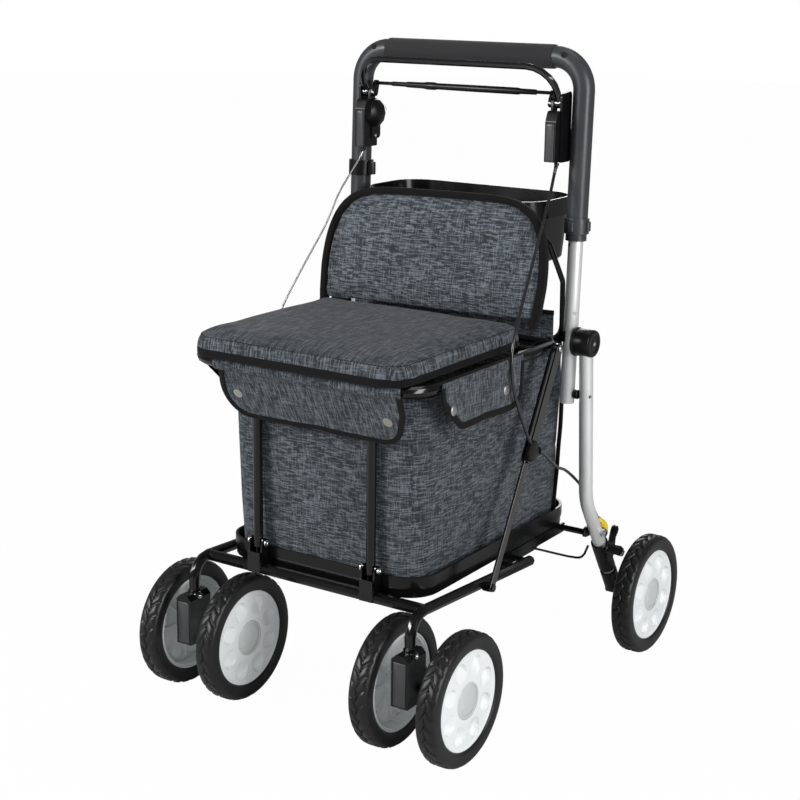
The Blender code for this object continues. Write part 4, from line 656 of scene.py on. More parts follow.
def rounded(corners: Sequence[Point], steps: int = 8) -> list[Pair]:
    """Return a closed outline from corners (u, v, radius), each one rounded."""
    points = []
    for i, (u, v, radius) in enumerate(corners):
        corner = Vector((u, v))
        before = (Vector(corners[i - 1][:2]) - corner).normalized()
        after = (Vector(corners[(i + 1) % len(corners)][:2]) - corner).normalized()
        half = before.angle(after) / 2
        middle = corner + (before + after).normalized() * (radius / sin(half))
        reach = radius * cos(half) / sin(half)
        start = corner + before * reach - middle
        end = corner + after * reach - middle
        first = atan2(start.y, start.x)
        turn = (atan2(end.y, end.x) - first + pi) % (2 * pi) - pi
        for step in range(steps + 1):
            angle = first + turn * step / steps
            points.append((middle.x + radius * cos(angle), middle.y + radius * sin(angle)))
    return points


def box(u: Pair, v: Pair, radii: Pair, steps: int) -> list[Pair]:
    """Return a rounded box.

    Args:
        u: Its two ends on the first axis.
        v: Its two ends on the second axis.
        radii: The corners' radius at the low end of v and at the high one.
        steps: How many steps make a corner.

    Returns:
        The closed outline.
    """
    (left, right), (low, high), (near, far) = u, v, radii
    return rounded(((left, low, near), (right, low, near), (right, high, far), (left, high, far)), steps)


def evened(outline: Outline, count: int) -> list[Pair]:
    """Return a closed outline as so many points at even steps along it."""
    ends = following(outline)
    lengths = [hypot(end[0] - start[0], end[1] - start[1]) for start, end in zip(outline, ends)]
    pitch = sum(lengths) / count
    points = []
    index = 0
    passed = 0.0
    for step in range(count):
        while passed + lengths[index] < step * pitch:
            passed += lengths[index]
            index += 1
        share = (step * pitch - passed) / max(lengths[index], 1e-9)
        points.append(tuple(Vector(outline[index]).lerp(Vector(ends[index]), share)))
    return points


def outwards(outline: Outline) -> list[Vector]:
    """Return the level direction out of a closed outline, at each of its points."""
    ways = []
    for i in range(len(outline)):
        along = (Vector(outline[(i + 1) % len(outline)]) - Vector(outline[i - 1])).normalized()
        ways.append(Vector((along.y, -along.x, 0)))
    return ways


def smooth_route(points: Sequence[Point], count: int) -> list[Vector]:
    """Return a smooth curve through the points, read at even steps of its parameter."""
    spots = [Vector(point) for point in points]
    row = [2 * spots[0] - spots[1], *spots, 2 * spots[-1] - spots[-2]]
    spans = len(spots) - 1
    route = []
    for i in range(count):
        along = spans * i / (count - 1)
        span = min(int(along), spans - 1)
        t = along - span
        a, b, c, d = row[span : span + 4]
        curve = 2 * b + (c - a) * t + (2 * a - 5 * b + 4 * c - d) * t**2
        route.append(0.5 * (curve + (3 * b - a - 3 * c + d) * t**3))
    return route


def tube_curve(name: str, route: Sequence[Vector], radius: float, steps: int = 5) -> Piece:
    """Return a round tube along a route, as a curve object with this bevel resolution."""
    curve = bpy.data.curves.new(name, "CURVE")
    curve.dimensions = "3D"
    curve.bevel_depth = radius
    curve.bevel_resolution = steps
    curve.use_fill_caps = True
    spline = curve.splines.new("POLY")
    spline.points.add(len(route) - 1)
    for point, spot in zip(spline.points, route):
        point.co = (*spot, 1.0)
    spline.use_smooth = True
    return new_piece(name, curve)


def stitches(route: Sequence[Vector], pitch: float, length: float, radius: float) -> Mesh:
    """Lay short threads along a closed line.

    Args:
        route: The points of the line.
        pitch: How far one stitch starts behind the last.
        length: How long a stitch is.
        radius: How thick it is.

    Returns:
        The mesh of all the stitches.
    """
    steps = [end - start for start, end in zip(route, following(route))]
    threads = bmesh.new()
    index = 0
    passed = 0.0
    for step in range(int(sum(way.length for way in steps) / pitch)):
        while passed + steps[index].length < step * pitch:
            passed += steps[index].length
            index += 1
        along = steps[index].normalized()
        foot = route[index] + along * (step * pitch - passed)
        threads.from_mesh(sweep("thread", [foot, foot + along * length], oval(radius, radius, 6), UP))
    mesh = bpy.data.meshes.new("stitches")
    threads.to_mesh(mesh)
    threads.free()
    return mesh


def framed(x: Vector, y: Vector, z: Vector, origin: Vector | Point) -> Matrix:
    """Return the matrix of a frame with these axes and this origin."""
    return Matrix.Translation(origin) @ Matrix((x, y, z)).transposed().to_4x4()


def turned_to(direction: Vector, spot: Vector) -> Matrix:
    """Return a matrix that takes +Z to a direction and the origin to a spot."""
    return Matrix.Translation(spot) @ UP.rotation_difference(direction).to_matrix().to_4x4()


def level_rings(outline: Outline, levels: Outline, frame: Matrix) -> Mesh:
    """Raise an outline level by level and close both ends.

    Args:
        outline: The closed outline.
        levels: Pairs (inset, height).
        frame: Where the outline's plane lies.

    Returns:
        The mesh.
    """
    low = [min(point[i] for point in outline) for i in (0, 1)]
    high = [max(point[i] for point in outline) for i in (0, 1)]
    middle = [(low[i] + high[i]) / 2 for i in (0, 1)]
    half = [(high[i] - low[i]) / 2 for i in (0, 1)]
    rows = []
    for inset, height in levels:
        row = []
        for point in outline:
            u, v = (middle[i] + (point[i] - middle[i]) * (1 - inset / half[i]) for i in (0, 1))
            row.append(frame @ Vector((u, v, height)))
        rows.append(row)
    return skin("levels", rows, capped=True)


@dataclass
class Upholstery:
    """Blows up a closed form with the cloth simulation, and keeps it in its place."""

    pressure: float
    cap: float
    voxel: float = 0.005
    frames: int = 20
    stiffness: float = 12.0
    bending: float = 0.6
    quality: int = 5

    def stuff(self, name: str, mesh: Mesh, held: Callable[[Vector], float]) -> Piece:
        """Turn a closed mesh into a stuffed piece.

        Args:
            name: The piece's name.
            mesh: The closed form before it swells.
            held: How firmly a point is held, from 0 to 1.

        Returns:
            The stuffed piece, its modifiers applied.
        """
        piece = new_piece(name, mesh)
        remesh = piece.modifiers.new("even", "REMESH")
        remesh.mode = "VOXEL"
        remesh.voxel_size = self.voxel
        self.apply(piece)
        start = [vertex.co.copy() for vertex in piece.data.vertices]
        self.swell(piece, held)
        self.limit(piece, start, held)
        smooth = piece.modifiers.new("smooth", "SMOOTH")
        smooth.factor = 0.5
        smooth.iterations = 3
        finer = piece.modifiers.new("finer", "SUBSURF")
        finer.levels = 1
        self.apply(piece)
        return piece

    def swell(self, piece: Piece, held: Callable[[Vector], float]) -> None:
        """Run the cloth simulation on the piece and keep its last shape."""
        group = piece.vertex_groups.new(name="held")
        for vertex in piece.data.vertices:
            group.add([vertex.index], held(vertex.co), "REPLACE")
        cloth = piece.modifiers.new("cloth", "CLOTH")
        settings = cloth.settings
        settings.use_pressure = True
        settings.uniform_pressure_force = self.pressure
        settings.effector_weights.gravity = 0.0
        settings.quality = self.quality
        settings.vertex_group_mass = group.name
        settings.tension_stiffness = self.stiffness
        settings.compression_stiffness = self.stiffness
        settings.bending_stiffness = self.bending
        scene = bpy.context.scene
        cloth.point_cache.frame_start = 1
        cloth.point_cache.frame_end = self.frames
        for frame in range(1, self.frames + 1):
            scene.frame_set(frame)
        self.apply(piece)
        scene.frame_set(1)

    def limit(self, piece: Piece, start: list[Vector], held: Callable[[Vector], float]) -> None:
        """Keep every point within the cap of where it started."""
        for vertex, spot in zip(piece.data.vertices, start):
            step = (vertex.co - spot) * (1 - held(spot))
            if step.length > self.cap:
                step = step.normalized() * self.cap
            vertex.co = spot + step

    @staticmethod
    def apply(piece: Piece) -> None:
        """Apply all the modifiers of a piece."""
        bpy.context.view_layer.update()
        graph = bpy.context.evaluated_depsgraph_get()
        mesh = bpy.data.meshes.new_from_object(piece.evaluated_get(graph))
        piece.modifiers.clear()
        piece.data = mesh


@dataclass
class StudioRoom:
    """The pale floor, the soft lamps and the camera."""

    lens: float = 73.7
    sensor: float = 36.0
    near: float = 0.05
    eye: Point = (1.22867, -1.91326, 1.00165)
    azimuth: float = radians(33.27)
    pitch: float = radians(14.78)
    roll: float = radians(0.765)
    floor_radius: float = 14.0
    floor_grey: float = 0.50
    floor_glow: float = 0.985
    sky_light: float = 0.42
    sky_gloss: float = 0.16
    aim: Point = (0, 0, 0.45)
    lamps: tuple[tuple[str, Point, Pair, float], ...] = (
        ("key", (-1.6, -2.5, 1.7), (0.9, 0.9), 68.0),
        ("side", (2.7, -0.8, 1.2), (0.9, 1.8), 50.0),
        ("top", (0.2, 0.6, 3.0), (1.2, 0.8), 5.0),
        ("rear", (-1.2, 2.6, 1.6), (0.9, 1.2), 14.0),
    )

    def camera(self) -> None:
        """Set up the camera of the photograph."""
        level = cos(self.pitch)
        back = Vector((sin(self.azimuth) * level, -cos(self.azimuth) * level, sin(self.pitch)))
        flat = (-back).cross(UP).normalized()
        upward = flat.cross(-back)
        right = flat * cos(self.roll) + upward * sin(self.roll)
        top = upward * cos(self.roll) - flat * sin(self.roll)
        data = bpy.data.cameras.new("camera")
        data.lens = self.lens
        data.sensor_width = self.sensor
        data.clip_start = self.near
        camera = bpy.data.objects.new("camera", data)
        bpy.context.scene.collection.objects.link(camera)
        camera.matrix_world = framed(right, top, back, self.eye)
        bpy.context.scene.camera = camera

    def lamp(self, name: str, spot: Point, size: Pair, power: float) -> None:
        """Add a soft lamp that looks at the middle of the rollator."""
        data = bpy.data.lights.new(name, "AREA")
        data.shape = "RECTANGLE"
        data.size, data.size_y = size
        data.energy = power
        lamp = bpy.data.objects.new(name, data)
        bpy.context.scene.collection.objects.link(lamp)
        turn = (Vector(self.aim) - Vector(spot)).to_track_quat("-Z", "Y").to_matrix().to_4x4()
        lamp.matrix_world = Matrix.Translation(spot) @ turn

    def floor(self) -> None:
        """Lay a pale floor that keeps the soft shadow."""
        shape = bmesh.new()
        bmesh.ops.create_circle(shape, cap_ends=True, segments=96, radius=self.floor_radius)
        mesh = bpy.data.meshes.new("floor")
        shape.to_mesh(mesh)
        shape.free()
        ground = new_piece("floor", mesh)
        sheet = ShaderSheet("pale_floor")
        sheet.drive("Base Color", (*[self.floor_grey] * 3, 1.0))
        sheet.constants(roughness=0.9, specular_ior_level=0.0)
        glow = sheet.add("ShaderNodeEmission")
        glow.inputs["Color"].default_value = (1.0, 1.0, 1.0, 1.0)
        rays = sheet.add("ShaderNodeLightPath")
        share = sheet.maths("MULTIPLY", rays.outputs["Is Camera Ray"], self.floor_glow)
        mix = sheet.add("ShaderNodeMixShader")
        for source, target in zip((share, sheet.shader.outputs[0], glow.outputs[0]), mix.inputs):
            sheet.join(source, target)
        sheet.join(mix.outputs[0], sheet.tree.nodes["Material Output"].inputs["Surface"])
        mesh.materials.append(sheet.material)
        ground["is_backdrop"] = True

    def sky(self) -> None:
        """Set a white world that lights the object softly."""
        world = bpy.data.worlds.new("studio")
        world.use_nodes = True
        bpy.context.scene.world = world
        nodes = world.node_tree.nodes
        links = world.node_tree.links
        rays = nodes.new("ShaderNodeLightPath")
        level = nodes.new("ShaderNodeMapRange")
        links.new(rays.outputs["Is Camera Ray"], level.inputs[0])
        level.inputs["To Min"].default_value = self.sky_light
        level.inputs["To Max"].default_value = 1.0
        gloss = nodes.new("ShaderNodeMapRange")
        links.new(rays.outputs["Is Glossy Ray"], gloss.inputs[0])
        links.new(level.outputs[0], gloss.inputs["To Min"])
        gloss.inputs["To Max"].default_value = self.sky_gloss
        links.new(gloss.outputs[0], nodes["Background"].inputs["Strength"])
        nodes["Background"].inputs["Color"].default_value = (1.0, 1.0, 1.0, 1.0)

    def build(self) -> None:
        """Build the room."""
        bpy.context.scene.view_settings.view_transform = "Standard"
        self.camera()
        self.floor()
        self.sky()
        for row in self.lamps:
            self.lamp(*row)


@dataclass
class Cables:
    """The two brake cables, from the housings to the rear brakes."""

    wardrobe: Wardrobe
    radii: tuple[float, float] = (0.0022, 0.0014)
    # The left cable wears the pale banded finish, a painted reflection of the light on its glossy sheath.
    finishes: tuple[str, str] = ("cable_sheath", "cable_painted_sheen")
    count: int = 50
    length: float = 0.701
    gap: float = 0.0004
    nib_length: float = 0.007
    ferrule_foot: Point = (0.2165, 0.1971, 0.1938)
    ferrule_axis: Point = (-0.0115, -0.0079, 0.0182)
    ferrule_stretch: float = 1.3
    points: tuple[Point, ...] = (
        (0.1615, 0.0994, 0.7438), (0.1635, 0.0880, 0.7260), (0.1670, 0.0753, 0.7099),
        (0.1725, 0.0503, 0.6790), (0.1760, 0.0218, 0.6350), (0.1850, -0.0250, 0.5750),
        (0.1925, -0.0630, 0.5210), (0.1955, -0.0685, 0.4825), (0.1985, -0.0608, 0.4460),
        (0.2035, -0.0362, 0.3927), (0.2045, -0.0175, 0.3710), (0.2045, 0.0140, 0.3526),
        (0.2015, 0.0550, 0.3250), (0.1985, 0.0925, 0.3090), (0.1975, 0.1350, 0.2800),
        (0.1985, 0.1650, 0.2510), (0.2008, 0.1800, 0.2300), (0.2046, 0.1889, 0.2128),
    )
    wire: Outline = ((0, 0.0), (0.00245, 0.0), (0.00245, 0.0085), (0, 0.0085))
    end: Outline = (
        (0, 0.0175), (0.0036, 0.0175), (0.0044, 0.0165), (0.0050, 0.0120), (0.0062, 0.0112),
        (0.0064, 0.0065), (0.0056, 0.0055), (0.0056, 0.0030), (0.0036, 0.0022), (0.0036, 0.0002),
        (0, 0.0002),
    )

    def ferrule(self, sign: int) -> Mesh:
        """Return the stepped yellow end piece at the foot of a cable."""
        mesh = lathe("ferrule", self.end, 24)
        (x, y, z), (u, v, w) = self.ferrule_foot, self.ferrule_axis
        place = turned_to(Vector((sign * u, v, w)).normalized(), Vector((sign * x, y, z)))
        mesh.transform(place @ Matrix.Diagonal((1.0, 1.0, self.ferrule_stretch, 1)))
        return mesh

    def build(self) -> None:
        """Build both cables with their end pieces."""
        add = self.wardrobe.add
        tip = self.nib_length
        nib_profile = [(0, 0.0), (0.0036, 0.0), (0.0036, 0.0015), (0.0030, 0.0025), (0.0027, tip), (0, tip)]
        for (side, sign), radius, finish in zip(SIDES, self.radii, self.finishes):
            route = smooth_route([(sign * x, y, z) for x, y, z in self.points], self.count)
            end = add(f"cable_ferrule_{side}", self.ferrule(sign), "yellow_plastic", "legs")
            start = (route[1] - route[0]).normalized()
            place = turned_to(start, route[0] + start * self.gap)
            nib = add(f"cable_nib_{side}", lathe("nib", nib_profile, 24), "black_plastic", "legs", place)
            place = turned_to(start, route[0] + start * (tip + self.gap))
            clip = add(f"cable_wire_{side}", lathe("wire", self.wire, 24), "bright_steel", "legs", place)
            cable = tube_curve(f"brake_cable_line_{side}", route, radius)
            self.wardrobe.wear(cable, finish, "legs", f"brake_cable_{side}")
            tuple(route[0])


@dataclass
class WheelSet:
    """Six wheels: a foam tyre with a branched tread, a scooped disc and a frosted cap each."""

    wardrobe: Wardrobe
    radius: float = 0.090
    width: float = 0.0305
    shoulder: float = 0.0085
    bore: float = 0.068
    disc_half: float = 0.0125
    pitches: int = 30
    tread_depth: float = 0.0020
    tread_reach: float = 0.74
    tread_fade: float = 0.10
    slot_slant: float = 0.8
    slot_width: float = 0.17
    spine_swing: float = 0.30
    spine_width: float = 0.10
    scoops: int = 8
    scoop_circle: float = 0.0470
    scoop_reach: Pair = (0.0136, 0.0124)
    scoop_depth: float = 0.0108
    ridge_width: float = 0.0011
    ridge_height: float = 0.0035
    centres: tuple[tuple[str, Point, int], ...] = (
        ("front_right_outer", (0.2304, -0.240, 0.090), 1),
        ("front_right_inner", (0.1276, -0.240, 0.090), -1),
        ("front_left_outer", (-0.2304, -0.240, 0.090), -1),
        ("front_left_inner", (-0.1276, -0.240, 0.090), 1),
        ("rear_right", (0.265, 0.240, 0.090), 1),
        ("rear_left", (-0.265, 0.240, 0.090), -1),
    )

    @staticmethod
    def carved(profile: Outline, depth: Callable[[int, float], float]) -> Callable[[float], Outline]:
        """Cut a profile in along its normals.

        Args:
            profile: Points (radius, height), outwards on top and back below.
            depth: How deep the cut is at a profile point and an angle.

        Returns:
            A call that gives the cut profile at an angle.
        """
        normals = []
        for i in range(len(profile)):
            before = Vector(profile[max(i - 1, 0)])
            after = Vector(profile[min(i + 1, len(profile) - 1)])
            along = (after - before).normalized()
            normals.append((-along.y, along.x))

        def at(turn: float) -> list[Pair]:
            """Return the cut profile at an angle."""
            cuts = [depth(i, turn) for i in range(len(profile))]
            return [(r - cut * u, h - cut * v) for (r, h), (u, v), cut in zip(profile, normals, cuts)]

        return at

    def tyre(self) -> Mesh:
        """Return the tyre about Z."""
        half = self.width / 2
        turn_at = self.radius - self.shoulder
        side = [
            (self.bore, self.disc_half - 0.0006),
            (self.bore + 0.0012, self.disc_half + 0.0012),
            (self.bore + 0.0035, half - 0.0006),
            (self.bore + 0.0075, half),
            (turn_at - 0.0035, half),
        ]
        turns = [pi * i / 14 for i in range(8)]
        bend = [(turn_at + self.shoulder * sin(t), half - self.shoulder * (1 - cos(t))) for t in turns]
        crown = [(self.radius, (half - self.shoulder) * (1 - 2 * i / 13)) for i in range(1, 13)]
        upper = side + bend
        profile = upper + crown + [(radius, -height) for radius, height in reversed(upper)]
        profile.append(profile[0])
        first = len(side)
        last = len(profile) - 1 - len(side)
        middle = (first + last - 1) / 2
        reach = (last - 1 - first) / 2

        def groove(i: int, turn: float) -> float:
            """Return the tread's depth: slanting slots on both sides of a wavy spine."""
            if not first <= i < last:
                return 0.0
            across = (i - middle) / reach
            place = turn * self.pitches / (2 * pi)
            arm = (place - self.slot_slant * abs(across) + (0.5 if across > 0 else 0.0)) % 1.0
            slot = max(0.0, 1 - abs(arm - 0.5) / self.slot_width) if abs(across) > self.spine_width else 0.0
            wave = abs((place % 1.0) - 0.5) * 2 - 0.5
            spine = max(0.0, 1 - abs(across - self.spine_swing * wave) / self.spine_width)
            fade = clamped((self.tread_reach - abs(across)) / self.tread_fade)
            return self.tread_depth * min(1.0, 1.8 * max(slot, spine)) * fade

        return lathe("tyre", self.carved(profile, groove), self.pitches * 12)

    def disc(self) -> Mesh:
        """Return the disc about Z."""
        half = self.disc_half
        face = half - 0.0013
        rim = self.bore - 0.0003
        back = face - 0.0050
        front = [(0, face - 0.0004), (0.0242, face - 0.0004), (0.0262, face)]
        front += [(0.028 + 0.0353 * i / 34, face) for i in range(35)]
        edge = [(0.0650, half - 0.0002), (0.0668, half), (rim, half - 0.0006), (rim, -half)]
        step = [(0.0655, -half), (0.0646, 0.0015 - half), (0.0628, 0.0015 - half), (0.0620, 0.0035 - half)]
        well = [(0.0612, back)] + [(0.0595 - 0.0420 * i / 14, back) for i in range(15)]
        hub = [(0.0150, back - 0.0006), (0.0140, 0.001 - half), (0.0062, -half), (0, -half)]
        profile = front + edge + step + well + hub
        scooped = range(3, len(front))
        bulged = range(len(front) + len(edge) + len(step), len(profile) - len(hub))

        def bowl(i: int, turn: float) -> float:
            """Return the scoops' depth in front, and less than nothing behind them."""
            if i not in scooped and i not in bulged:
                return 0.0
            radius = profile[i][0]
            share = turn * self.scoops / (2 * pi)
            off = (share - int(share) - 0.5) * 2 * pi / self.scoops
            along = (radius - self.scoop_circle) / self.scoop_reach[0]
            across = off * radius / self.scoop_reach[1]
            inside = along**2 + across**2
            ridge = abs(abs(off) - pi / self.scoops) * radius
            if i in bulged and ridge < self.ridge_width:
                return -self.ridge_height
            if inside >= 1:
                return 0.0
            shape = (1 - inside) ** 0.42 * (0.52 + 0.48 * along)
            return self.scoop_depth * shape * (1 if i in scooped else -0.7)

        return lathe("disc", self.carved(profile, bowl), 320)

    def cap(self) -> Mesh:
        """Return the round cap in the middle of the disc."""
        drops = (
            (0, -0.0004), (0.0150, -0.0002), (0.0206, 0.0003), (0.0212, 0.0010), (0.0222, 0.0010),
            (0.0228, 0.0001), (0.0244, 0.0002), (0.0251, 0.0010), (0.0253, 0.0030), (0, 0.0030),
        )
        return lathe("cap", [(radius, self.disc_half - drop) for radius, drop in drops], 72)

    def build(self) -> None:
        """Build all six wheels."""
        meshes = (
            ("tyre_fine", self.tyre(), "tyre_foam", "tyre_"),
            ("disc_fine", self.disc(), "white_disc", "wheel_disc_"),
            ("disc_cap", self.cap(), "frosted_cap", ""),
        )
        for name, centre, outward in self.centres:
            place = Matrix.Translation(centre) @ Matrix.Rotation(outward * pi / 2, 4, "Y")
            for stem, mesh, finish, node in meshes:
                stands_for = f"{node}{name}" if node else ""
                self.wardrobe.add(
                    f"{stem}_{name}", mesh, finish, f"wheel_{name}", place, stands_for=stands_for, sharp=50
                )


@dataclass
class SeatCushion:
    """The lid's stuffed cushion, with the seam round its top and the tape round its foot."""

    wardrobe: Wardrobe
    half_width: float = 0.1715
    front: float = -0.305
    rear: float = 0.0095
    radii: Pair = (0.036, 0.014)
    foot: float = 0.5066
    seam: float = 0.5290
    slack_inset: float = 0.0015
    crown: Outline = ((0.0045, 0.0040), (0.0150, 0.0072), (0.0500, 0.0090), (0.0900, 0.0100))
    stitch_pitch: float = 0.0046
    stitch_length: float = 0.0028
    stitch_radius: float = 0.0006
    tape_half: Pair = (0.0056, 0.0021)
    tape_rise: float = 0.0022

    def outline(self, inset: float) -> list[Pair]:
        """Return the cushion's outline, drawn in by so much."""
        half = self.half_width - inset
        return evened(box((-half, half), (self.front + inset, self.rear - inset), self.radii, 10), 168)

    def held(self, spot: Vector) -> float:
        """Return 1 on the board and 0 a little above it."""
        return clamped((self.foot + 0.007 - spot.z) / 0.005)

    def ring(self, piece: Piece, height: float, lift: float) -> list[Vector]:
        """Find the line round the cushion's side at a height.

        Args:
            piece: The stuffed cushion.
            height: The height of the line.
            lift: How far it stands off the side.

        Returns:
            The points of the closed line.
        """
        tree = BVHTree.FromPolygons(
            [vertex.co for vertex in piece.data.vertices],
            [tuple(face.vertices) for face in piece.data.polygons],
        )
        outline = self.outline(0.0)
        route = []
        for (x, y), out in zip(outline, outwards(outline)):
            flat = Vector((x, y, height))
            spot = tree.ray_cast(flat + out * 0.03, -out, 0.08)[0]
            route.append((spot or flat) + out * lift)
        return route

    def build(self) -> None:
        """Build the cushion, its seam cords and its tape."""
        side = [
            (0.0020, self.foot),
            (0.0005, self.foot + 0.004),
            (0.0, (self.foot + self.seam) / 2),
            (0.0005, self.seam - 0.003),
            (0.0012, self.seam),
        ]
        levels = side + [(inset, self.seam + rise) for inset, rise in self.crown]
        start = level_rings(self.outline(self.slack_inset), levels, Matrix())
        piece = Upholstery(pressure=4.0, cap=0.0035).stuff("seat_pad_cover", start, self.held)
        seam = self.ring(piece, self.seam + 0.0004, 0.0001)
        cords = stitches(seam, self.stitch_pitch, self.stitch_length, self.stitch_radius)
        foot = self.ring(piece, self.foot + self.tape_rise, 0.0006)
        tape = sweep("tape", foot, oval(*self.tape_half, 14, 0.6), UP, True)
        self.wardrobe.wear(piece, "cloth_seat", "lid", "seat_cushion", sharp=180)
        self.wardrobe.add("seat_pad_seam", cords, "binding_tape", "lid")
        self.wardrobe.add("seat_pad_tape", tape, "binding_tape", "lid")


@dataclass
class Backrest:
    """The padded backrest with the wide tape round its edge."""

    wardrobe: Wardrobe
    height: float = 0.171
    half_foot: float = 0.1805
    half_middle: float = 0.1840
    waist: float = 0.050
    foot_corner: float = 0.012
    thickness: float = 0.0125
    skew: float = radians(1.2)
    side_power: float = 6.0
    top_power: float = 2.4
    slack_inset: float = 0.004
    tape_foot: float = -0.006
    tape_inset: float = 0.0030
    tape_gap: float = 0.0045
    tape_width: float = 0.0052

    def frame(self) -> Matrix:
        """Return the matrix of the backrest's own plane, hung a little askew."""
        middle = Matrix.Translation((0, self.height / 2, 0))
        askew = middle @ Matrix.Rotation(self.skew, 4, "Z") @ middle.inverted()
        return framed(ACROSS, BACK_UP, BACK_OUT, BACK_FOOT) @ askew

    def half_at(self, v: float, inset: float) -> float:
        """Return the half width at a height, under a top that is a blunt oval."""
        if v < self.waist:
            return self.half_foot + (self.half_middle - self.half_foot) * max(v, 0.0) / self.waist - inset
        share = min(1.0, (v - self.waist) / (self.height - inset - self.waist))
        return (self.half_middle - inset) * (1 - share**self.top_power) ** (1 / self.side_power)

    def outline(self, inset: float) -> list[Pair]:
        """Return the outline in the backrest's plane, drawn in by so much."""
        low = self.foot_corner
        rises = [low + (self.height - inset - low) * sin(pi * i / 160) for i in range(81)]
        reach = low - inset
        turns = [pi * i / 16 for i in range(8)]
        half = self.half_at(low, inset)
        right = [(half - reach * (1 - sin(turn)), inset + reach * (1 - cos(turn))) for turn in turns]
        right += [(self.half_at(v, inset), v) for v in rises]
        return evened(right + [(-u, v) for u, v in reversed(right)], 180)

    def held(self, spot: Vector) -> float:
        """Return 1 on the back of the pad and 0 in front of it."""
        return clamped((0.006 - (spot - BACK_FOOT).dot(BACK_OUT)) / 0.004)

    def build(self) -> None:
        """Build the pad and its tape."""
        frame = self.frame()
        levels = [
            (0.0020, 0.0006),
            (0.0005, 0.0030),
            (0.0005, self.thickness - 0.004),
            (0.0040, self.thickness - 0.002),
            (0.0200, self.thickness + 0.0005),
            (0.0600, self.thickness + 0.0020),
        ]
        start = level_rings(self.outline(self.slack_inset), levels, frame)
        piece = Upholstery(pressure=3.5, cap=0.0050).stuff("backrest_pad", start, self.held)
        edge = [point for point in self.outline(self.tape_inset) if point[1] > self.tape_gap]
        right = [point for point in edge if point[0] > 0]
        left = [point for point in edge if point[0] <= 0]
        below = self.half_foot - self.tape_gap
        line = [(below, self.tape_foot), *right, *left, (-below, self.tape_foot)]
        route = [frame @ Vector((u, v, self.thickness / 2)) for u, v in line]
        section = oval(self.thickness / 2 + 0.0016, self.tape_width, 18, 0.55)
        tape = sweep("tape", route, section, BACK_OUT)
        # The backrest wears the lighter copy of the melange: painted light.
        self.wardrobe.wear(piece, "cloth_back_painted_light", "seat", "backrest", sharp=180)
        self.wardrobe.add("backrest_tape", tape, "binding_tape", "seat")


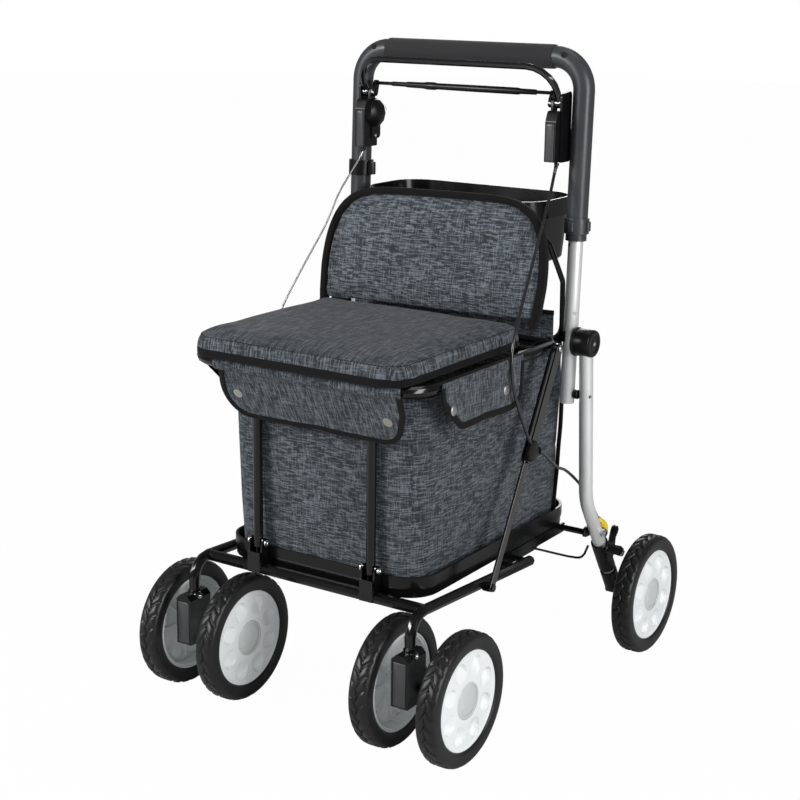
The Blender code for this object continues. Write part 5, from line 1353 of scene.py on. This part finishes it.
@dataclass
class ShoppingBag:
    """The sewn bag in the tray: a lofted shell that sags and creases, with taped edges."""

    wardrobe: Wardrobe
    half_width: float = 0.155
    front: float = -0.2375
    rear: float = 0.158
    radii: Pair = (0.040, 0.012)
    foot: float = 0.2078
    top: float = 0.480
    wall: float = 0.0022
    taper: float = 0.006
    floor_inset: float = 0.06
    around: int = 220
    levels: int = 46
    belly_depth: float = 0.0052
    ripple_depth: float = 0.0022
    crease_depth: float = 0.0030
    crease_width: float = 0.16
    pleat_depth: float = 0.0045
    pleat_width: float = 0.011
    pleat_place: Pair = (0.094, 0.24)
    pleat_lean: float = 0.35
    pleat_top: float = 0.62
    side_start: float = 0.135
    side_blend: float = 0.02
    reach: float = 0.008
    front_reach: float = 0.0012
    tape_half: Pair = (0.0030, 0.0055)
    hem_half: Pair = (0.0050, 0.0018)

    def rise(self, z: float) -> float:
        """Return a height as a share of the bag's own."""
        return (z - self.foot) / (self.top - self.foot)

    def tight(self, z: float) -> float:
        """Return how far the bag is drawn in at a height."""
        return self.taper * (1 - self.rise(z)) ** 2

    def slack(self, x: float, y: float, z: float) -> float:
        """Return how far the cloth stands out from its flat place.

        Args:
            x: The place across.
            y: The place from front to rear.
            z: The height.

        Returns:
            The step outwards, in metres; less than nothing is inwards.
        """
        rise = self.rise(z)
        belly = sin(pi * clamped(rise)) ** 0.8
        at_side = clamped((abs(x) - self.side_start) / self.side_blend)
        along = (y - self.front) / (self.rear - self.front)
        side_middle = sin(pi * clamped(along))
        soft = noise.noise(Vector((x * 14, y * 14, z * 10 + 3)))
        long_fold = noise.noise(Vector((x * 10 + y * 22 + z * 16, z * 5 - y * 4, 7.0)))
        crease = max(0.0, 1 - abs(long_fold) / self.crease_width) * min(1.0, 1.6 * along) * at_side
        off = y - self.pleat_place[0] + self.pleat_lean * (z - self.pleat_place[1])
        pleat = exp(-((off / self.pleat_width) ** 2)) * max(0.0, 1 - rise / self.pleat_top)
        step = self.belly_depth * belly * side_middle * at_side + self.ripple_depth * soft * belly
        step -= self.crease_depth * crease * belly + self.pleat_depth * pleat * at_side
        return min(step, self.front_reach if y < self.front + 0.05 else self.reach)

    def ring(self, inset: float, z: float) -> list[Vector]:
        """Return the points round the bag at a height."""
        drawn = inset + self.tight(z)
        half = self.half_width - drawn
        outline = box((-half, half), (self.front + drawn, self.rear - drawn), self.radii, 10)
        outline = evened(outline, self.around)
        points = []
        for (x, y), out in zip(outline, outwards(outline)):
            step = self.slack(x, y, z)
            points.append(Vector((x + out.x * step, y + out.y * step, z)))
        return points

    def shell(self) -> Mesh:
        """Return the bag's closed shell, with its floor."""
        rise = (self.top - self.foot) / self.levels
        heights = [self.foot + rise * i for i in range(1, self.levels + 1)]
        places = [(self.floor_inset, self.foot), (0.004, self.foot), (0.0008, self.foot + 0.002)]
        places += [(0.0, z) for z in heights]
        places += [(self.wall, z) for z in reversed(heights)]
        places.append((self.floor_inset, self.foot + self.wall))
        return skin("bag", [self.ring(inset, z) for inset, z in places], capped=True)

    def line_inside(self, piece: Piece) -> None:
        """Give the faces that look inwards the lining."""
        piece.data.materials.append(self.wardrobe.made["cloth_lining"])
        middle = Vector((0, (self.front + self.rear) / 2, 0))
        for face in piece.data.polygons:
            away = face.center - middle
            away.z = 0
            if face.center.z > self.foot + 0.001 and face.normal.dot(away) <= 0:
                face.material_index = 1

    def edge_tape(self, sign: int) -> Mesh:
        """Return the tape down a rear edge."""
        route = []
        for i in range(40):
            z = self.foot + 0.004 + (self.top - self.foot - 0.006) * i / 39
            tight = self.tight(z)
            reach = 0.0010 + 0.0012 * noise.noise(Vector((sign * 5.0, 2.0, z * 18)))
            x = self.half_width - tight + reach - 0.001
            route.append(Vector((sign * x, self.rear - tight - 0.002, z)))
        return sweep("edge", route, oval(*self.tape_half, 12, 0.6), Vector((sign, 0.35, 0)).normalized())

    def hem(self) -> Mesh:
        """Return the tape round the mouth of the bag."""
        route = self.ring(self.wall / 2, self.top - 0.003)
        return sweep("hem", route, oval(*self.hem_half, 12, 0.6), UP, True)

    def build(self) -> None:
        """Build the bag, its hem and its edge tapes."""
        add = self.wardrobe.add
        bag = add("bag_cloth", self.shell(), "cloth_across", "base", stands_for="bag", sharp=50)
        self.line_inside(bag)
        trims = [add("bag_hem", self.hem(), "binding_tape", "base")]
        for side, sign in SIDES:
            trims.append(add(f"bag_edge_{side}", self.edge_tape(sign), "binding_tape", "base"))
        for piece in [bag, *trims]:
            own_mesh(piece)


@dataclass
class Flap:
    """A flat cloth flap with a taped edge and snaps, in its own plane."""

    name: str
    wardrobe: Wardrobe
    frame: Matrix
    corners: tuple[Point, ...]
    snaps: tuple[Pair, ...]
    flat: Pair
    area: float
    wall: float
    swell: float
    curl: float = 0.0
    tape: float = 0.0048
    tape_inset: float = 0.55
    tape_wall: float = 0.0009
    hem: float = 0.0004
    fold_share: float = 0.35
    rows: int = 22
    columns: int = 64
    low: float = field(init=False)
    high: float = field(init=False)
    snap: Outline = (
        (0, 0.0017), (0.0050, 0.0016), (0.0062, 0.0012), (0.0069, 0.0005), (0.0069, -0.0002), (0, -0.0002),
    )

    def __post_init__(self) -> None:
        """Find the flap's two ends on its second axis."""
        self.low = min(corner[1] for corner in self.corners)
        self.high = max(corner[1] for corner in self.corners)

    def widths(self, v: float) -> Pair:
        """Return the flap's left and right end at a height in its plane."""
        outline = rounded(self.corners, 8)
        ends = []
        for (u, w), (nu, nw) in zip(outline, following(outline)):
            if (w - v) * (nw - v) <= 0 and abs(nw - w) > 1e-9:
                ends.append(u + (nu - u) * (v - w) / (nw - w))
        return min(ends), max(ends)

    def place(self, u: float, v: float, side: float) -> Vector:
        """Return a point of the cloth, on its middle plane plus a step to a side."""
        rise = (v - self.low) / (self.high - self.low)
        wave = noise.noise(Vector((u * 16, v * 22, len(self.name) * 1.0)))
        fold = noise.noise(Vector((u * 34 + v * 12, v * 9, 4.0)))
        side += self.curl * (1 - rise)
        side += self.swell * (wave + self.fold_share * fold) * sin(pi * rise * 0.9)
        return self.frame @ Vector((u, v, side))

    def grid(self, side: float) -> list[list[Vector]]:
        """Return rows of points over the cloth, a step to a side."""
        low = self.low + self.hem
        high = self.high - self.hem
        rows = []
        for row in range(self.rows + 1):
            v = low + (high - low) * row / self.rows
            left, right = self.widths(v)
            places = [left + (right - left) * column / self.columns for column in range(self.columns + 1)]
            rows.append([self.place(u, v, side) for u in places])
        return rows

    def edging(self) -> Mesh:
        """Return the tape down the sides and along the foot."""
        top = self.corners[0][1]
        outline = [point for point in evened(rounded(self.corners, 8), 150) if abs(point[1] - top) > 0.0035]
        middle = Vector((sum(u for u, _ in outline), sum(v for _, v in outline))) / len(outline)
        route = []
        for u, v in outline:
            inward = (middle - Vector((u, v))).normalized() * (self.tape * self.tape_inset)
            route.append(self.place(u + inward.x, v + inward.y, 0.0))
        up = self.frame.to_3x3() @ UP
        return sweep("edging", route, oval(self.wall / 2 + self.tape_wall, self.tape, 14, 0.6), up)

    def build(self) -> None:
        """Build the cloth, its tape and its snaps."""
        mesh = two_sided(self.name, self.grid(self.wall / 2), self.grid(-self.wall / 2))
        cloth = self.wardrobe.add(f"{self.name}_cloth", mesh, "cloth_down", "seat", stands_for=self.name)
        extras = [self.wardrobe.add(f"{self.name}_tape", self.edging(), "binding_tape", "seat")]
        step = self.tape / 2
        for i, (u, v) in enumerate(self.snaps, 1):
            across = self.place(u + step, v, 0.0) - self.place(u - step, v, 0.0)
            along = self.place(u, v + step, 0.0) - self.place(u, v - step, 0.0)
            place = turned_to(across.cross(along).normalized(), self.place(u, v, self.wall / 2))
            mesh = lathe("snap", self.snap, 40)
            extras.append(self.wardrobe.add(f"{self.name}_snap_{i}", mesh, "satin_nickel", "seat", place))


@dataclass
class Flaps:
    """The front flap, the side flaps and the apron behind the backrest."""

    wardrobe: Wardrobe
    hang: Point = (0.0045, -0.2560, 0.4955)
    front_corners: tuple[Point, ...] = (
        (-0.1260, 0.0, 0.003), (0.1595, 0.0, 0.003), (0.1575, 0.030, 0.020),
        (0.1375, 0.074, 0.034), (-0.1375, 0.074, 0.034), (-0.1340, 0.030, 0.020),
    )
    side_corners: tuple[Point, ...] = (
        (-0.236, 0.502, 0.003), (-0.233, 0.4768, 0.012), (-0.189, 0.4360, 0.015),
        (-0.055, 0.4340, 0.010), (-0.032, 0.4449, 0.008), (-0.030, 0.502, 0.003),
    )
    side_reach: float = 0.1903
    tube_height: float = 0.4955
    tube_front: float = -0.285
    tube_bend: float = 0.050
    sleeve_ends: Pair = (-0.130, 0.132)
    sleeve_radius: float = 0.0102
    apron_grid: tuple[int, int] = (60, 10)
    apron_half: float = 0.170
    apron_top: float = 0.536
    apron_drop: float = 0.042
    apron_rear: float = 0.090
    apron_sag: float = 0.012
    apron_dip: float = 0.003
    apron_ripple: float = 0.0012
    apron_wall: float = 0.0014

    def front(self) -> Flap:
        """Return the front flap."""
        frame = framed(ACROSS, -UP, -REARWARD, self.hang)
        snaps = ((-0.1107, 0.0430), (0.1287, 0.0440))
        sizes = {"flat": (0.305, 0.074), "area": 0.0209, "wall": 0.0012, "swell": 0.0011, "curl": 0.036}
        return Flap("front_flap", self.wardrobe, frame, self.front_corners, snaps, **sizes)

    def side(self, side: str, sign: int) -> Flap:
        """Return a side flap."""
        frame = framed(REARWARD, UP, ACROSS * sign, (sign * self.side_reach, 0, 0))
        snaps = ((-0.2082, 0.4619), (-0.0747, 0.4615))
        sizes = {"flat": (0.206, 0.068), "area": 0.0128, "wall": 0.001, "swell": 0.0009}
        return Flap(f"side_flap_{side}", self.wardrobe, frame, self.side_corners, snaps, **sizes)

    def sleeve(self) -> None:
        """Build the loop of the front flap's cloth that takes the seat tube."""
        left, right = self.sleeve_ends
        bend = self.tube_bend
        places = [left + (right - left) * i / 30 for i in range(31)]
        route = [Vector((x, self.tube_front, self.tube_height)) for x in places]
        for i in range(1, 7):
            turn = radians(5 * i)
            y = self.tube_front + bend - bend * cos(turn)
            route.append(Vector((right + bend * sin(turn), y, self.tube_height)))
        loop = sweep("sleeve", route, oval(self.sleeve_radius, self.sleeve_radius, 28), UP)
        self.wardrobe.add("front_flap_sleeve", loop, "cloth_down", "seat")

    def apron_point(self, across: float, share: float, depth: float) -> Vector:
        """Return a point of the apron.

        Args:
            across: The place across, from -1 to 1.
            share: The place down the cloth, from 0 to 1.
            depth: A step backwards.

        Returns:
            The point.
        """
        middle = 1 - across**2
        ripple = self.apron_ripple * noise.noise(Vector((across * 5, share * 2, 1.0)))
        y = self.apron_rear + self.apron_sag * middle * share + ripple + depth
        z = self.apron_top - self.apron_drop * share - self.apron_dip * middle * (1 - share)
        return Vector((self.apron_half * across, y, z))

    def apron(self) -> None:
        """Build the lining cloth that hangs between the uprights, behind the backrest."""
        columns, rows = self.apron_grid
        acrosses = [2 * column / columns - 1 for column in range(columns + 1)]
        shares = [row / rows for row in range(rows + 1)]
        front, back = (
            [[self.apron_point(across, share, depth) for across in acrosses] for share in shares]
            for depth in (0.0, self.apron_wall)
        )
        cloth = self.wardrobe.add("rear_apron", two_sided("apron", front, back), "cloth_across", "seat")
        for name, row in (("top", front[0]), ("foot", front[-1])):
            route = [point + REARWARD * (self.apron_wall / 2) for point in row]
            mesh = sweep("tape", route, oval(0.0034, 0.0017, 12, 0.6), UP)
            self.wardrobe.add(f"rear_apron_tape_{name}", mesh, "binding_tape", "seat")

    def build(self) -> None:
        """Build all the flaps."""
        self.front().build()
        self.sleeve()
        for side, sign in SIDES:
            self.side(side, sign).build()
        self.apron()


class Head(Enum):
    """The forms of the small fastenings, as profiles with unit radius and unit height."""

    DOMED = ((0, 1), (0.45, 0.95), (0.75, 0.74), (0.94, 0.42), (1, 0.1), (1, 0), (0, 0))
    SOCKET = ((0, 0.35), (0.42, 0.35), (0.48, 0.96), (0.72, 1), (0.92, 0.82), (1, 0.5), (1, 0), (0, 0))
    HEX = ((0, 1), (0.50, 1), (0.80, 0.98), (1, 0.82), (1, 0), (0, 0))
    ACORN = ((0, 1), (0.25, 0.97), (0.45, 0.85), (0.62, 0.58), (0.82, 0.52), (1, 0.45), (1, 0), (0, 0))
    # HOLE is a thin disc with a rim, dressed in painted shade where a hole would be.
    HOLE = ((0, 0.2), (0.72, 0.2), (0.80, 0.9), (0.92, 1), (1, 0.4), (1, 0), (0, 0))


@dataclass(frozen=True)
class Turned:
    """A small turned piece; {side} in its body and in its node stands for its side."""

    name: str
    profile: Outline
    spot: Point
    axis: Point
    body: str
    finish: str = "black_plastic"
    steps: int = 28
    stands_for: str = ""
    sharp: float = 0.0
    slot: str = ""

    def build(self, wardrobe: Wardrobe, side: str = "", sign: int = 1) -> None:
        """Build the piece.

        Args:
            wardrobe: The finishes.
            side: The name of its side, where it has one.
            sign: -1 to mirror it to -X.
        """
        name = f"{self.name}_{side}" if side else self.name
        body, node = (text.replace("{side}", side) for text in (self.body, self.stands_for))
        (x, y, z), (u, v, w) = self.spot, self.axis
        place = turned_to(Vector((sign * u, v, w)).normalized(), Vector((sign * x, y, z)))
        mesh = lathe("turned", self.profile, self.steps)
        wardrobe.add(name, mesh, self.finish, body, place, stands_for=node, sharp=self.sharp, slot=self.slot)


def fastening(
    name: str,
    head: Head,
    spot: Point,
    axis: Point,
    size: Pair,
    body: str,
    finish: str = "bright_steel",
    slot: str = "",
) -> Turned:
    """Return a screw, nut, rivet or hole on a face.

    Args:
        name: Its name.
        head: Its form.
        spot: The middle of its foot.
        axis: The direction that it looks to.
        size: Its radius and its height.
        body: The body that carries it.
        finish: Its finish.
        slot: The record's material slot, if it isn't the finish's own.

    Returns:
        The turned piece.
    """
    radius, height = size
    profile = [(r * radius, h * height) for r, h in head.value]
    steps = 6 if head is Head.HEX else 28
    return Turned(name, profile, spot, axis, body, finish, steps, sharp=30, slot=slot)


OUT: Point = (1, 0, 0)
DOMED, SOCKET, HEX, ACORN, HOLE = Head
PAIRED: tuple[Turned, ...] = (
    fastening("knob_screw", SOCKET, (0.2236, 0.1140, 0.4940), OUT, (0.0033, 0.0012), "legs"),
    fastening("leg_bolt_head", HEX, (0.2262, 0.1691, 0.1988), OUT, (0.0062, 0.0040), "legs"),
    fastening(
        "socket_screw_high", SOCKET, (0.2230, 0.1782, 0.1744), (0.9, -0.366, -0.238), (0.0032, 0.0014),
        "legs",
    ),
    fastening(
        "socket_screw_low", SOCKET, (0.2240, 0.1964, 0.1553), (1, -0.078, -0.05), (0.0032, 0.0014),
        "legs",
    ),
    fastening("brake_pivot_nut", ACORN, (0.2295, 0.2023, 0.1617), OUT, (0.0048, 0.0052), "legs"),
    fastening("rail_end_bolt", HEX, (0.182, 0.0242, 0.1895), (0, 1, -0.1), (0.0055, 0.0052), "base"),
    fastening("post_nut_outer", ACORN, (0.1062, -0.247, 0.240), OUT, (0.0050, 0.0040), "base"),
    fastening("post_nut_inner", ACORN, (0.0798, -0.247, 0.240), (-1, 0, 0), (0.0050, 0.0040), "base"),
    fastening("seat_pivot_rivet", DOMED, (0.2022, 0.054, 0.4955), OUT, (0.0050, 0.0024), "strut_upper"),
    # Painted shade: the handle screw and the HOLE discs below wear painted_hole_shade for the shade in their
    # recesses.
    fastening(
        "handle_screw", SOCKET, (0.1570, 0.1158, 0.8895), (0, -0.975, 0.22), (0.0040, 0.0009), "handle",
        "painted_hole_shade", "dark_handle_paint",
    ),
    fastening("lever_screw", SOCKET, (0.1650, 0.104, 0.8245), OUT, (0.0034, 0.0016), "handle"),
    fastening(
        "upright_hole", HOLE, (0.1921, 0.1124, 0.5344), (0.784, -0.62, 0.02), (0.0022, 0.0003), "legs",
        "painted_hole_shade",
    ),
    fastening(
        "upright_pin_hole", HOLE, (0.1781, 0.1132, 0.6301), (-0.555, -0.831, 0.027), (0.0024, 0.0001),
        "legs", "painted_hole_shade",
    ),
    fastening(
        "leg_hole", HOLE, (0.2207, 0.1142, 0.4167), (0.881, -0.471, -0.039), (0.0024, 0.0003), "legs",
        "painted_hole_shade",
    ),
    Turned(
        "knob_flange",
        ((0.0150, 0), (0.0203, 0), (0.0207, 0.0012), (0.0207, 0.0030), (0.0199, 0.0042), (0.0150, 0.0042),
         (0.0150, 0)),
        (0.1950, 0.114, 0.494), OUT, "legs", steps=64,
    ),
    Turned(
        "knob_face",
        ((0.0120, 0), (0.0188, 0), (0.0186, 0.0006), (0.0178, 0.0010), (0.0130, 0.0010), (0.0120, 0.0004),
         (0.0120, 0)),
        (0.2232, 0.114, 0.494), OUT, "legs", steps=64,
    ),
    Turned(
        "knee_clip",
        ((0, 0), (0.0130, 0), (0.0148, 0.0010), (0.0152, 0.0026), (0.0142, 0.0048), (0.0100, 0.0058),
         (0, 0.0060)),
        (0.2018, -0.0200, 0.3660), OUT, "strut_lower", steps=48,
    ),
    Turned(
        "knob_drum",
        ((0, 0), (0.0188, 0), (0.0195, 0.0010), (0.0195, 0.0268), (0.0186, 0.0281), (0.0172, 0.0285),
         (0, 0.0285)),
        (0.1948, 0.114, 0.494), OUT, "legs", steps=72, stands_for="leg_knob_{side}",
    ),
    Turned(
        "leg_spacer",
        ((0, 0), (0.0060, 0), (0.0066, 0.0006), (0.0066, 0.0063), (0.0060, 0.0069), (0, 0.0069)),
        (0.1948, 0.1150, 0.417), OUT, "legs", steps=36,
    ),
    Turned(
        "brake_pin",
        ((0, 0), (0.0058, 0), (0.0058, 0.0040), (0.0072, 0.0048), (0.0074, 0.0180), (0.0066, 0.0192),
         (0, 0.0196)),
        (0.2288, 0.1826, 0.1706), OUT, "brake_arm_{side}", steps=40,
    ),
)
LUG: Outline = ((0, 0), (0.0062, 0), (0.0062, 0.0052), (0.0054, 0.0062), (0, 0.0062))
SINGLE: tuple[Turned, ...] = (
    fastening("cover_plate_screw_high", SOCKET, (-0.1482, 0.0953, 0.7891), OUT, (0.0030, 0.0013), "handle"),
    fastening("cover_plate_screw_low", SOCKET, (-0.1482, 0.1090, 0.7615), OUT, (0.0030, 0.0013), "handle"),
    # Painted shade: the dome recess is a thin disc in painted_hole_shade.
    fastening(
        "dome_recess", HOLE, (-0.1372, 0.1200, 0.8010), (0.8, 0.45, 0.25), (0.0030, 0.0003), "handle",
        "painted_hole_shade", "black_plastic",
    ),
    Turned("caster_lug_right", LUG, (0.1862, -0.2869, 0.1560), OUT, "caster_right", "bright_plastic"),
    Turned("caster_lug_left", LUG, (-0.1718, -0.2869, 0.1560), OUT, "caster_left", "bright_plastic"),
    fastening("caster_screw_right", DOMED, (0.1922, -0.2869, 0.1560), OUT, (0.0036, 0.0026), "caster_right"),
    fastening("caster_screw_left", DOMED, (-0.1658, -0.2869, 0.1560), OUT, (0.0036, 0.0026), "caster_left"),
)


@dataclass
class Hardware:
    """The screws, nuts, rivets, springs and covers that the frame's own solids leave out."""

    wardrobe: Wardrobe
    pivot: Point = (0, 0.2055, 0.192)
    pin: Point = (0, 0.1826, 0.1706)
    link_reach: float = 0.2262
    link_end: float = 0.0075
    link_half: float = 0.0070
    link_corner: float = 0.0068
    spring_middle: Point = (0.2345, 0.2023, 0.1617)
    spring_radius: float = 0.0062
    spring_length: float = 0.0075
    spring_turns: int = 5
    clip_middle: Point = (0.2035, -0.0070, 0.3645)
    clip_reach: Point = (0.0042, 0.0030, 0.0062)

    def spring(self, side: str, sign: int) -> None:
        """Build the coil spring on a rear brake's pin."""
        x, y, z = self.spring_middle
        route = []
        for i in range(121):
            turn = 2 * pi * self.spring_turns * i / 120
            out = x + self.spring_length * i / 120
            up, along = self.spring_radius * sin(turn), self.spring_radius * cos(turn)
            route.append(Vector((sign * out, y + along, z + up)))
        self.wardrobe.wear(tube_curve(f"brake_spring_{side}", route, 0.0007, 3), "bright_steel", "legs")

    def satin_fronts(self, side: str, sign: int) -> None:
        """Build the satin strip of a caster's cover and the satin front shell of a brake housing."""
        strip = box((-0.0092, 0.0092), (0.0905, 0.150), (0.001, 0.001), 4)
        levels = ((0.0, 0.0), (0.0, 0.0005), (0.0004, 0.0008))
        frame = framed(ACROSS, UP, -REARWARD, (sign * 0.179, -0.3063, 0))
        mesh = level_rings(strip, levels, frame)
        self.wardrobe.add(f"caster_strip_{side}", mesh, "satin_face", f"caster_{side}")
        shell = box((-0.0062, 0.0062), (0.7465, 0.7990), (0.002, 0.002), 5)
        levels = ((0.0, 0.0), (0.0, 0.0010), (0.0006, 0.0017), (0.0025, 0.0021))
        frame = framed(ACROSS, UP, -REARWARD, (sign * 0.1577, 0.0835, 0))
        self.wardrobe.add(f"housing_front_{side}", level_rings(shell, levels, frame), "satin_face", "handle")

    def strut_clip(self, side: str, sign: int) -> None:
        """Build the ring that holds the cable against the strut's knee."""
        (x, y, z), (a, b, c) = self.clip_middle, self.clip_reach
        turns = [2 * pi * i / 32 for i in range(32)]
        route = [Vector((sign * (x + a * cos(t)), y + b * cos(t), z + c * sin(t))) for t in turns]
        ring = sweep("clip", route, oval(0.0012, 0.0016, 8), Vector((0, 1, 0.2)), True)
        self.wardrobe.add(f"cable_clip_{side}", ring, "bright_plastic", "legs")

    def brake_link(self, side: str, sign: int) -> None:
        """Build the link of a rear brake, from its pivot to the pin that presses on the tyre."""
        pivot = Vector(self.pivot)
        reach = (Vector(self.pin) - pivot).length
        along = (Vector(self.pin) - pivot).normalized()
        outward = ACROSS * sign
        frame = framed(along, outward.cross(along), outward, pivot + outward * self.link_reach)
        ends = (-self.link_end, reach + self.link_end)
        outline = box(ends, (-self.link_half, self.link_half), (self.link_corner, self.link_corner), 8)
        plate = level_rings(outline, ((0.0005, 0.0), (0.0, 0.0005), (0.0, 0.0023), (0.0005, 0.0028)), frame)
        arm = f"brake_arm_{side}"
        self.wardrobe.add(f"brake_link_{side}", plate, "black_steel", arm, stands_for=arm)

    def build(self) -> None:
        """Build all the hardware."""
        for part in SINGLE:
            part.build(self.wardrobe)
        for side, sign in SIDES:
            for part in PAIRED:
                part.build(self.wardrobe, side, sign)
            self.spring(side, sign)
            self.satin_fronts(side, sign)
            self.strut_clip(side, sign)
            self.brake_link(side, sign)


@dataclass
class PushHandle:
    """The bent tube of the handle, its foam grip and the sleeve of the rod between the housings."""

    wardrobe: Wardrobe
    top: Point = (0.184, 0.1304, 0.886)
    foot: Point = (0.184, 0.1227, 0.6503)
    radius: float = 0.015
    bore: float = 0.0108
    corner: float = 0.045
    grip: float = 0.0168
    rod: Point = (0, 0.109, 0.838)
    sleeve: Outline = (
        (0, -0.120), (0.0026, -0.120), (0.0033, -0.118), (0.0034, -0.096), (0.0042, -0.091),
        (0.0046, -0.064), (0.0056, -0.058), (0.0056, -0.046), (0.0046, -0.040), (0.0050, 0.020),
        (0.0050, 0.092), (0.0040, 0.096), (0.0038, 0.120), (0.0026, 0.122), (0, 0.122),
    )

    def route(self) -> list[Vector]:
        """Return the tube's centre line, from the left foot to the right one."""
        top = Vector(self.top)
        foot = Vector(self.foot)
        up = (top - foot).normalized()
        middle = top - up * self.corner - ACROSS * self.corner
        bend = [radians(90 * i / 12) for i in range(13)]
        right = [middle + up * (self.corner * cos(t)) + ACROSS * (self.corner * sin(t)) for t in bend]
        right += [right[-1].lerp(foot, i / 12) for i in range(1, 13)]
        left = [Vector((-point.x, point.y, point.z)) for point in reversed(right)]
        return left + right

    def pipe(self) -> Mesh:
        """Return the hollow tube."""
        outer, inner = (
            carried(self.route(), [(v, u) for u, v in oval(radius, radius, 40)], REARWARD)
            for radius in (self.radius, self.bore)
        )
        return skin("pipe", outer + inner[::-1], wrap=True)

    def foam(self) -> Mesh:
        """Return the grip about Z."""
        half = self.top[0] - self.corner - 0.001
        inner = self.radius + 0.0002
        ends = ((self.grip - 0.0010, half), (self.grip - 0.0003, half - 0.0012), (self.grip, half - 0.004))
        profile = [(inner, -half), *((radius, -reach) for radius, reach in ends), *reversed(ends)]
        return lathe("grip", [*profile, (inner, half), (inner, -half)], 72)

    def build(self) -> None:
        """Build the tube, the grip and the rod's sleeve."""
        add = self.wardrobe.add
        add("handle_pipe", self.pipe(), "handle_paint", "handle", stands_for="handle_tube", sharp=50)
        place = turned_to(ACROSS, Vector((0, self.top[1], self.top[2])))
        add("handle_grip", self.foam(), "grip_foam", "handle", place, stands_for="grip", sharp=50)
        place = turned_to(ACROSS, Vector(self.rod))
        add("rod_sleeve", lathe("sleeve", self.sleeve, 36), "black_plastic", "parking_bar", place, sharp=50)


@dataclass
class Uprights:
    """The two plain tubes of the frame that take the handle's legs."""

    wardrobe: Wardrobe
    foot: Point = (0.184, 0.1145, 0.403)
    lean: float = 0.033
    rise: float = 0.357
    radius: float = 0.0105
    bore: float = 0.0092
    edge: float = 0.0003

    def build(self) -> None:
        """Build both tubes."""
        top = self.rise * hypot(1, self.lean)
        face = self.radius - self.edge
        wall = [(face, 0), (self.radius, self.edge), (self.radius, top - self.edge), (face, top)]
        profile = [(self.bore, 0), *wall, (self.bore, top), (self.bore, 0)]
        tube = Turned(
            "upright", profile, self.foot, (0, self.lean, 1), "legs", "satin_aluminium",
            steps=72, stands_for="upper_tube_{side}", sharp=50,
        )
        for side, sign in SIDES:
            tube.build(self.wardrobe, side, sign)


@dataclass
class FrameDress:
    """Finishes for the CAD solids that stay in view."""

    wardrobe: Wardrobe
    nodes: dict[str, Piece]
    finishes: tuple[tuple[str, tuple[str, ...]], ...] = (
        ("black_steel", ("base_frame", "caster_fork", "pivot_bracket", "rear_crossbar", "front_post")),
        ("black_steel", ("seat_frame", "backrest_bow", "parking_bar")),
        ("gloss_black", ("strut_lower", "strut_upper", "brake_bar")),
        ("handle_paint", ("collar",)),
        ("satin_aluminium", ("leg_right", "leg_left")),
        ("black_plastic", ("brake_mount", "rear_fork", "brake_housing", "cane_clamp", "seat_board")),
        ("bright_plastic", ("caster_cover", "tray", "bin")),
    )
    weld: float = 0.00001
    crease: float = radians(32)
    strut_edge: float = 0.0024

    def soften(self, node: Piece) -> None:
        """Let round faces shade smoothly and keep the edges that are sharper than the crease angle."""
        node.data.shade_smooth()
        weld = node.modifiers.new("weld", "WELD")
        weld.merge_threshold = self.weld
        if node.name.startswith("strut"):
            bevel = node.modifiers.new("round", "BEVEL")
            bevel.width = self.strut_edge
            bevel.segments = 3
        split = node.modifiers.new("crease", "EDGE_SPLIT")
        split.split_angle = self.crease
        split.use_edge_sharp = False
        weighted = node.modifiers.new("normals", "WEIGHTED_NORMAL")
        weighted.keep_sharp = False

    def build(self) -> None:
        """Dress every CAD solid that still shows."""
        for name, node in self.nodes.items():
            if node.hide_render:
                continue
            for finish, stems in self.finishes:
                if name.startswith(stems):
                    node.data.materials.clear()
                    node.data.materials.append(self.wardrobe.made[finish])
                    self.soften(node)
                    LOG.info("dressed %s as %s", name, finish)


def main() -> None:
    """Build the scene."""
    logging.basicConfig(level=logging.INFO)
    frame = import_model()
    LOG.info("frame of %d solids", len(frame["nodes"]))
    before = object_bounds()
    wardrobe = Wardrobe()
    wardrobe.open()
    StudioRoom().build()
    Cables(wardrobe).build()
    WheelSet(wardrobe).build()
    SeatCushion(wardrobe).build()
    Backrest(wardrobe).build()
    ShoppingBag(wardrobe).build()
    Flaps(wardrobe).build()
    PushHandle(wardrobe).build()
    Uprights(wardrobe).build()
    Hardware(wardrobe).build()
    FrameDress(wardrobe, frame["nodes"]).build()
    [[list(map(float, corner)) for corner in box] for box in (before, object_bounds())]


if __name__ == "__main__":
    main()
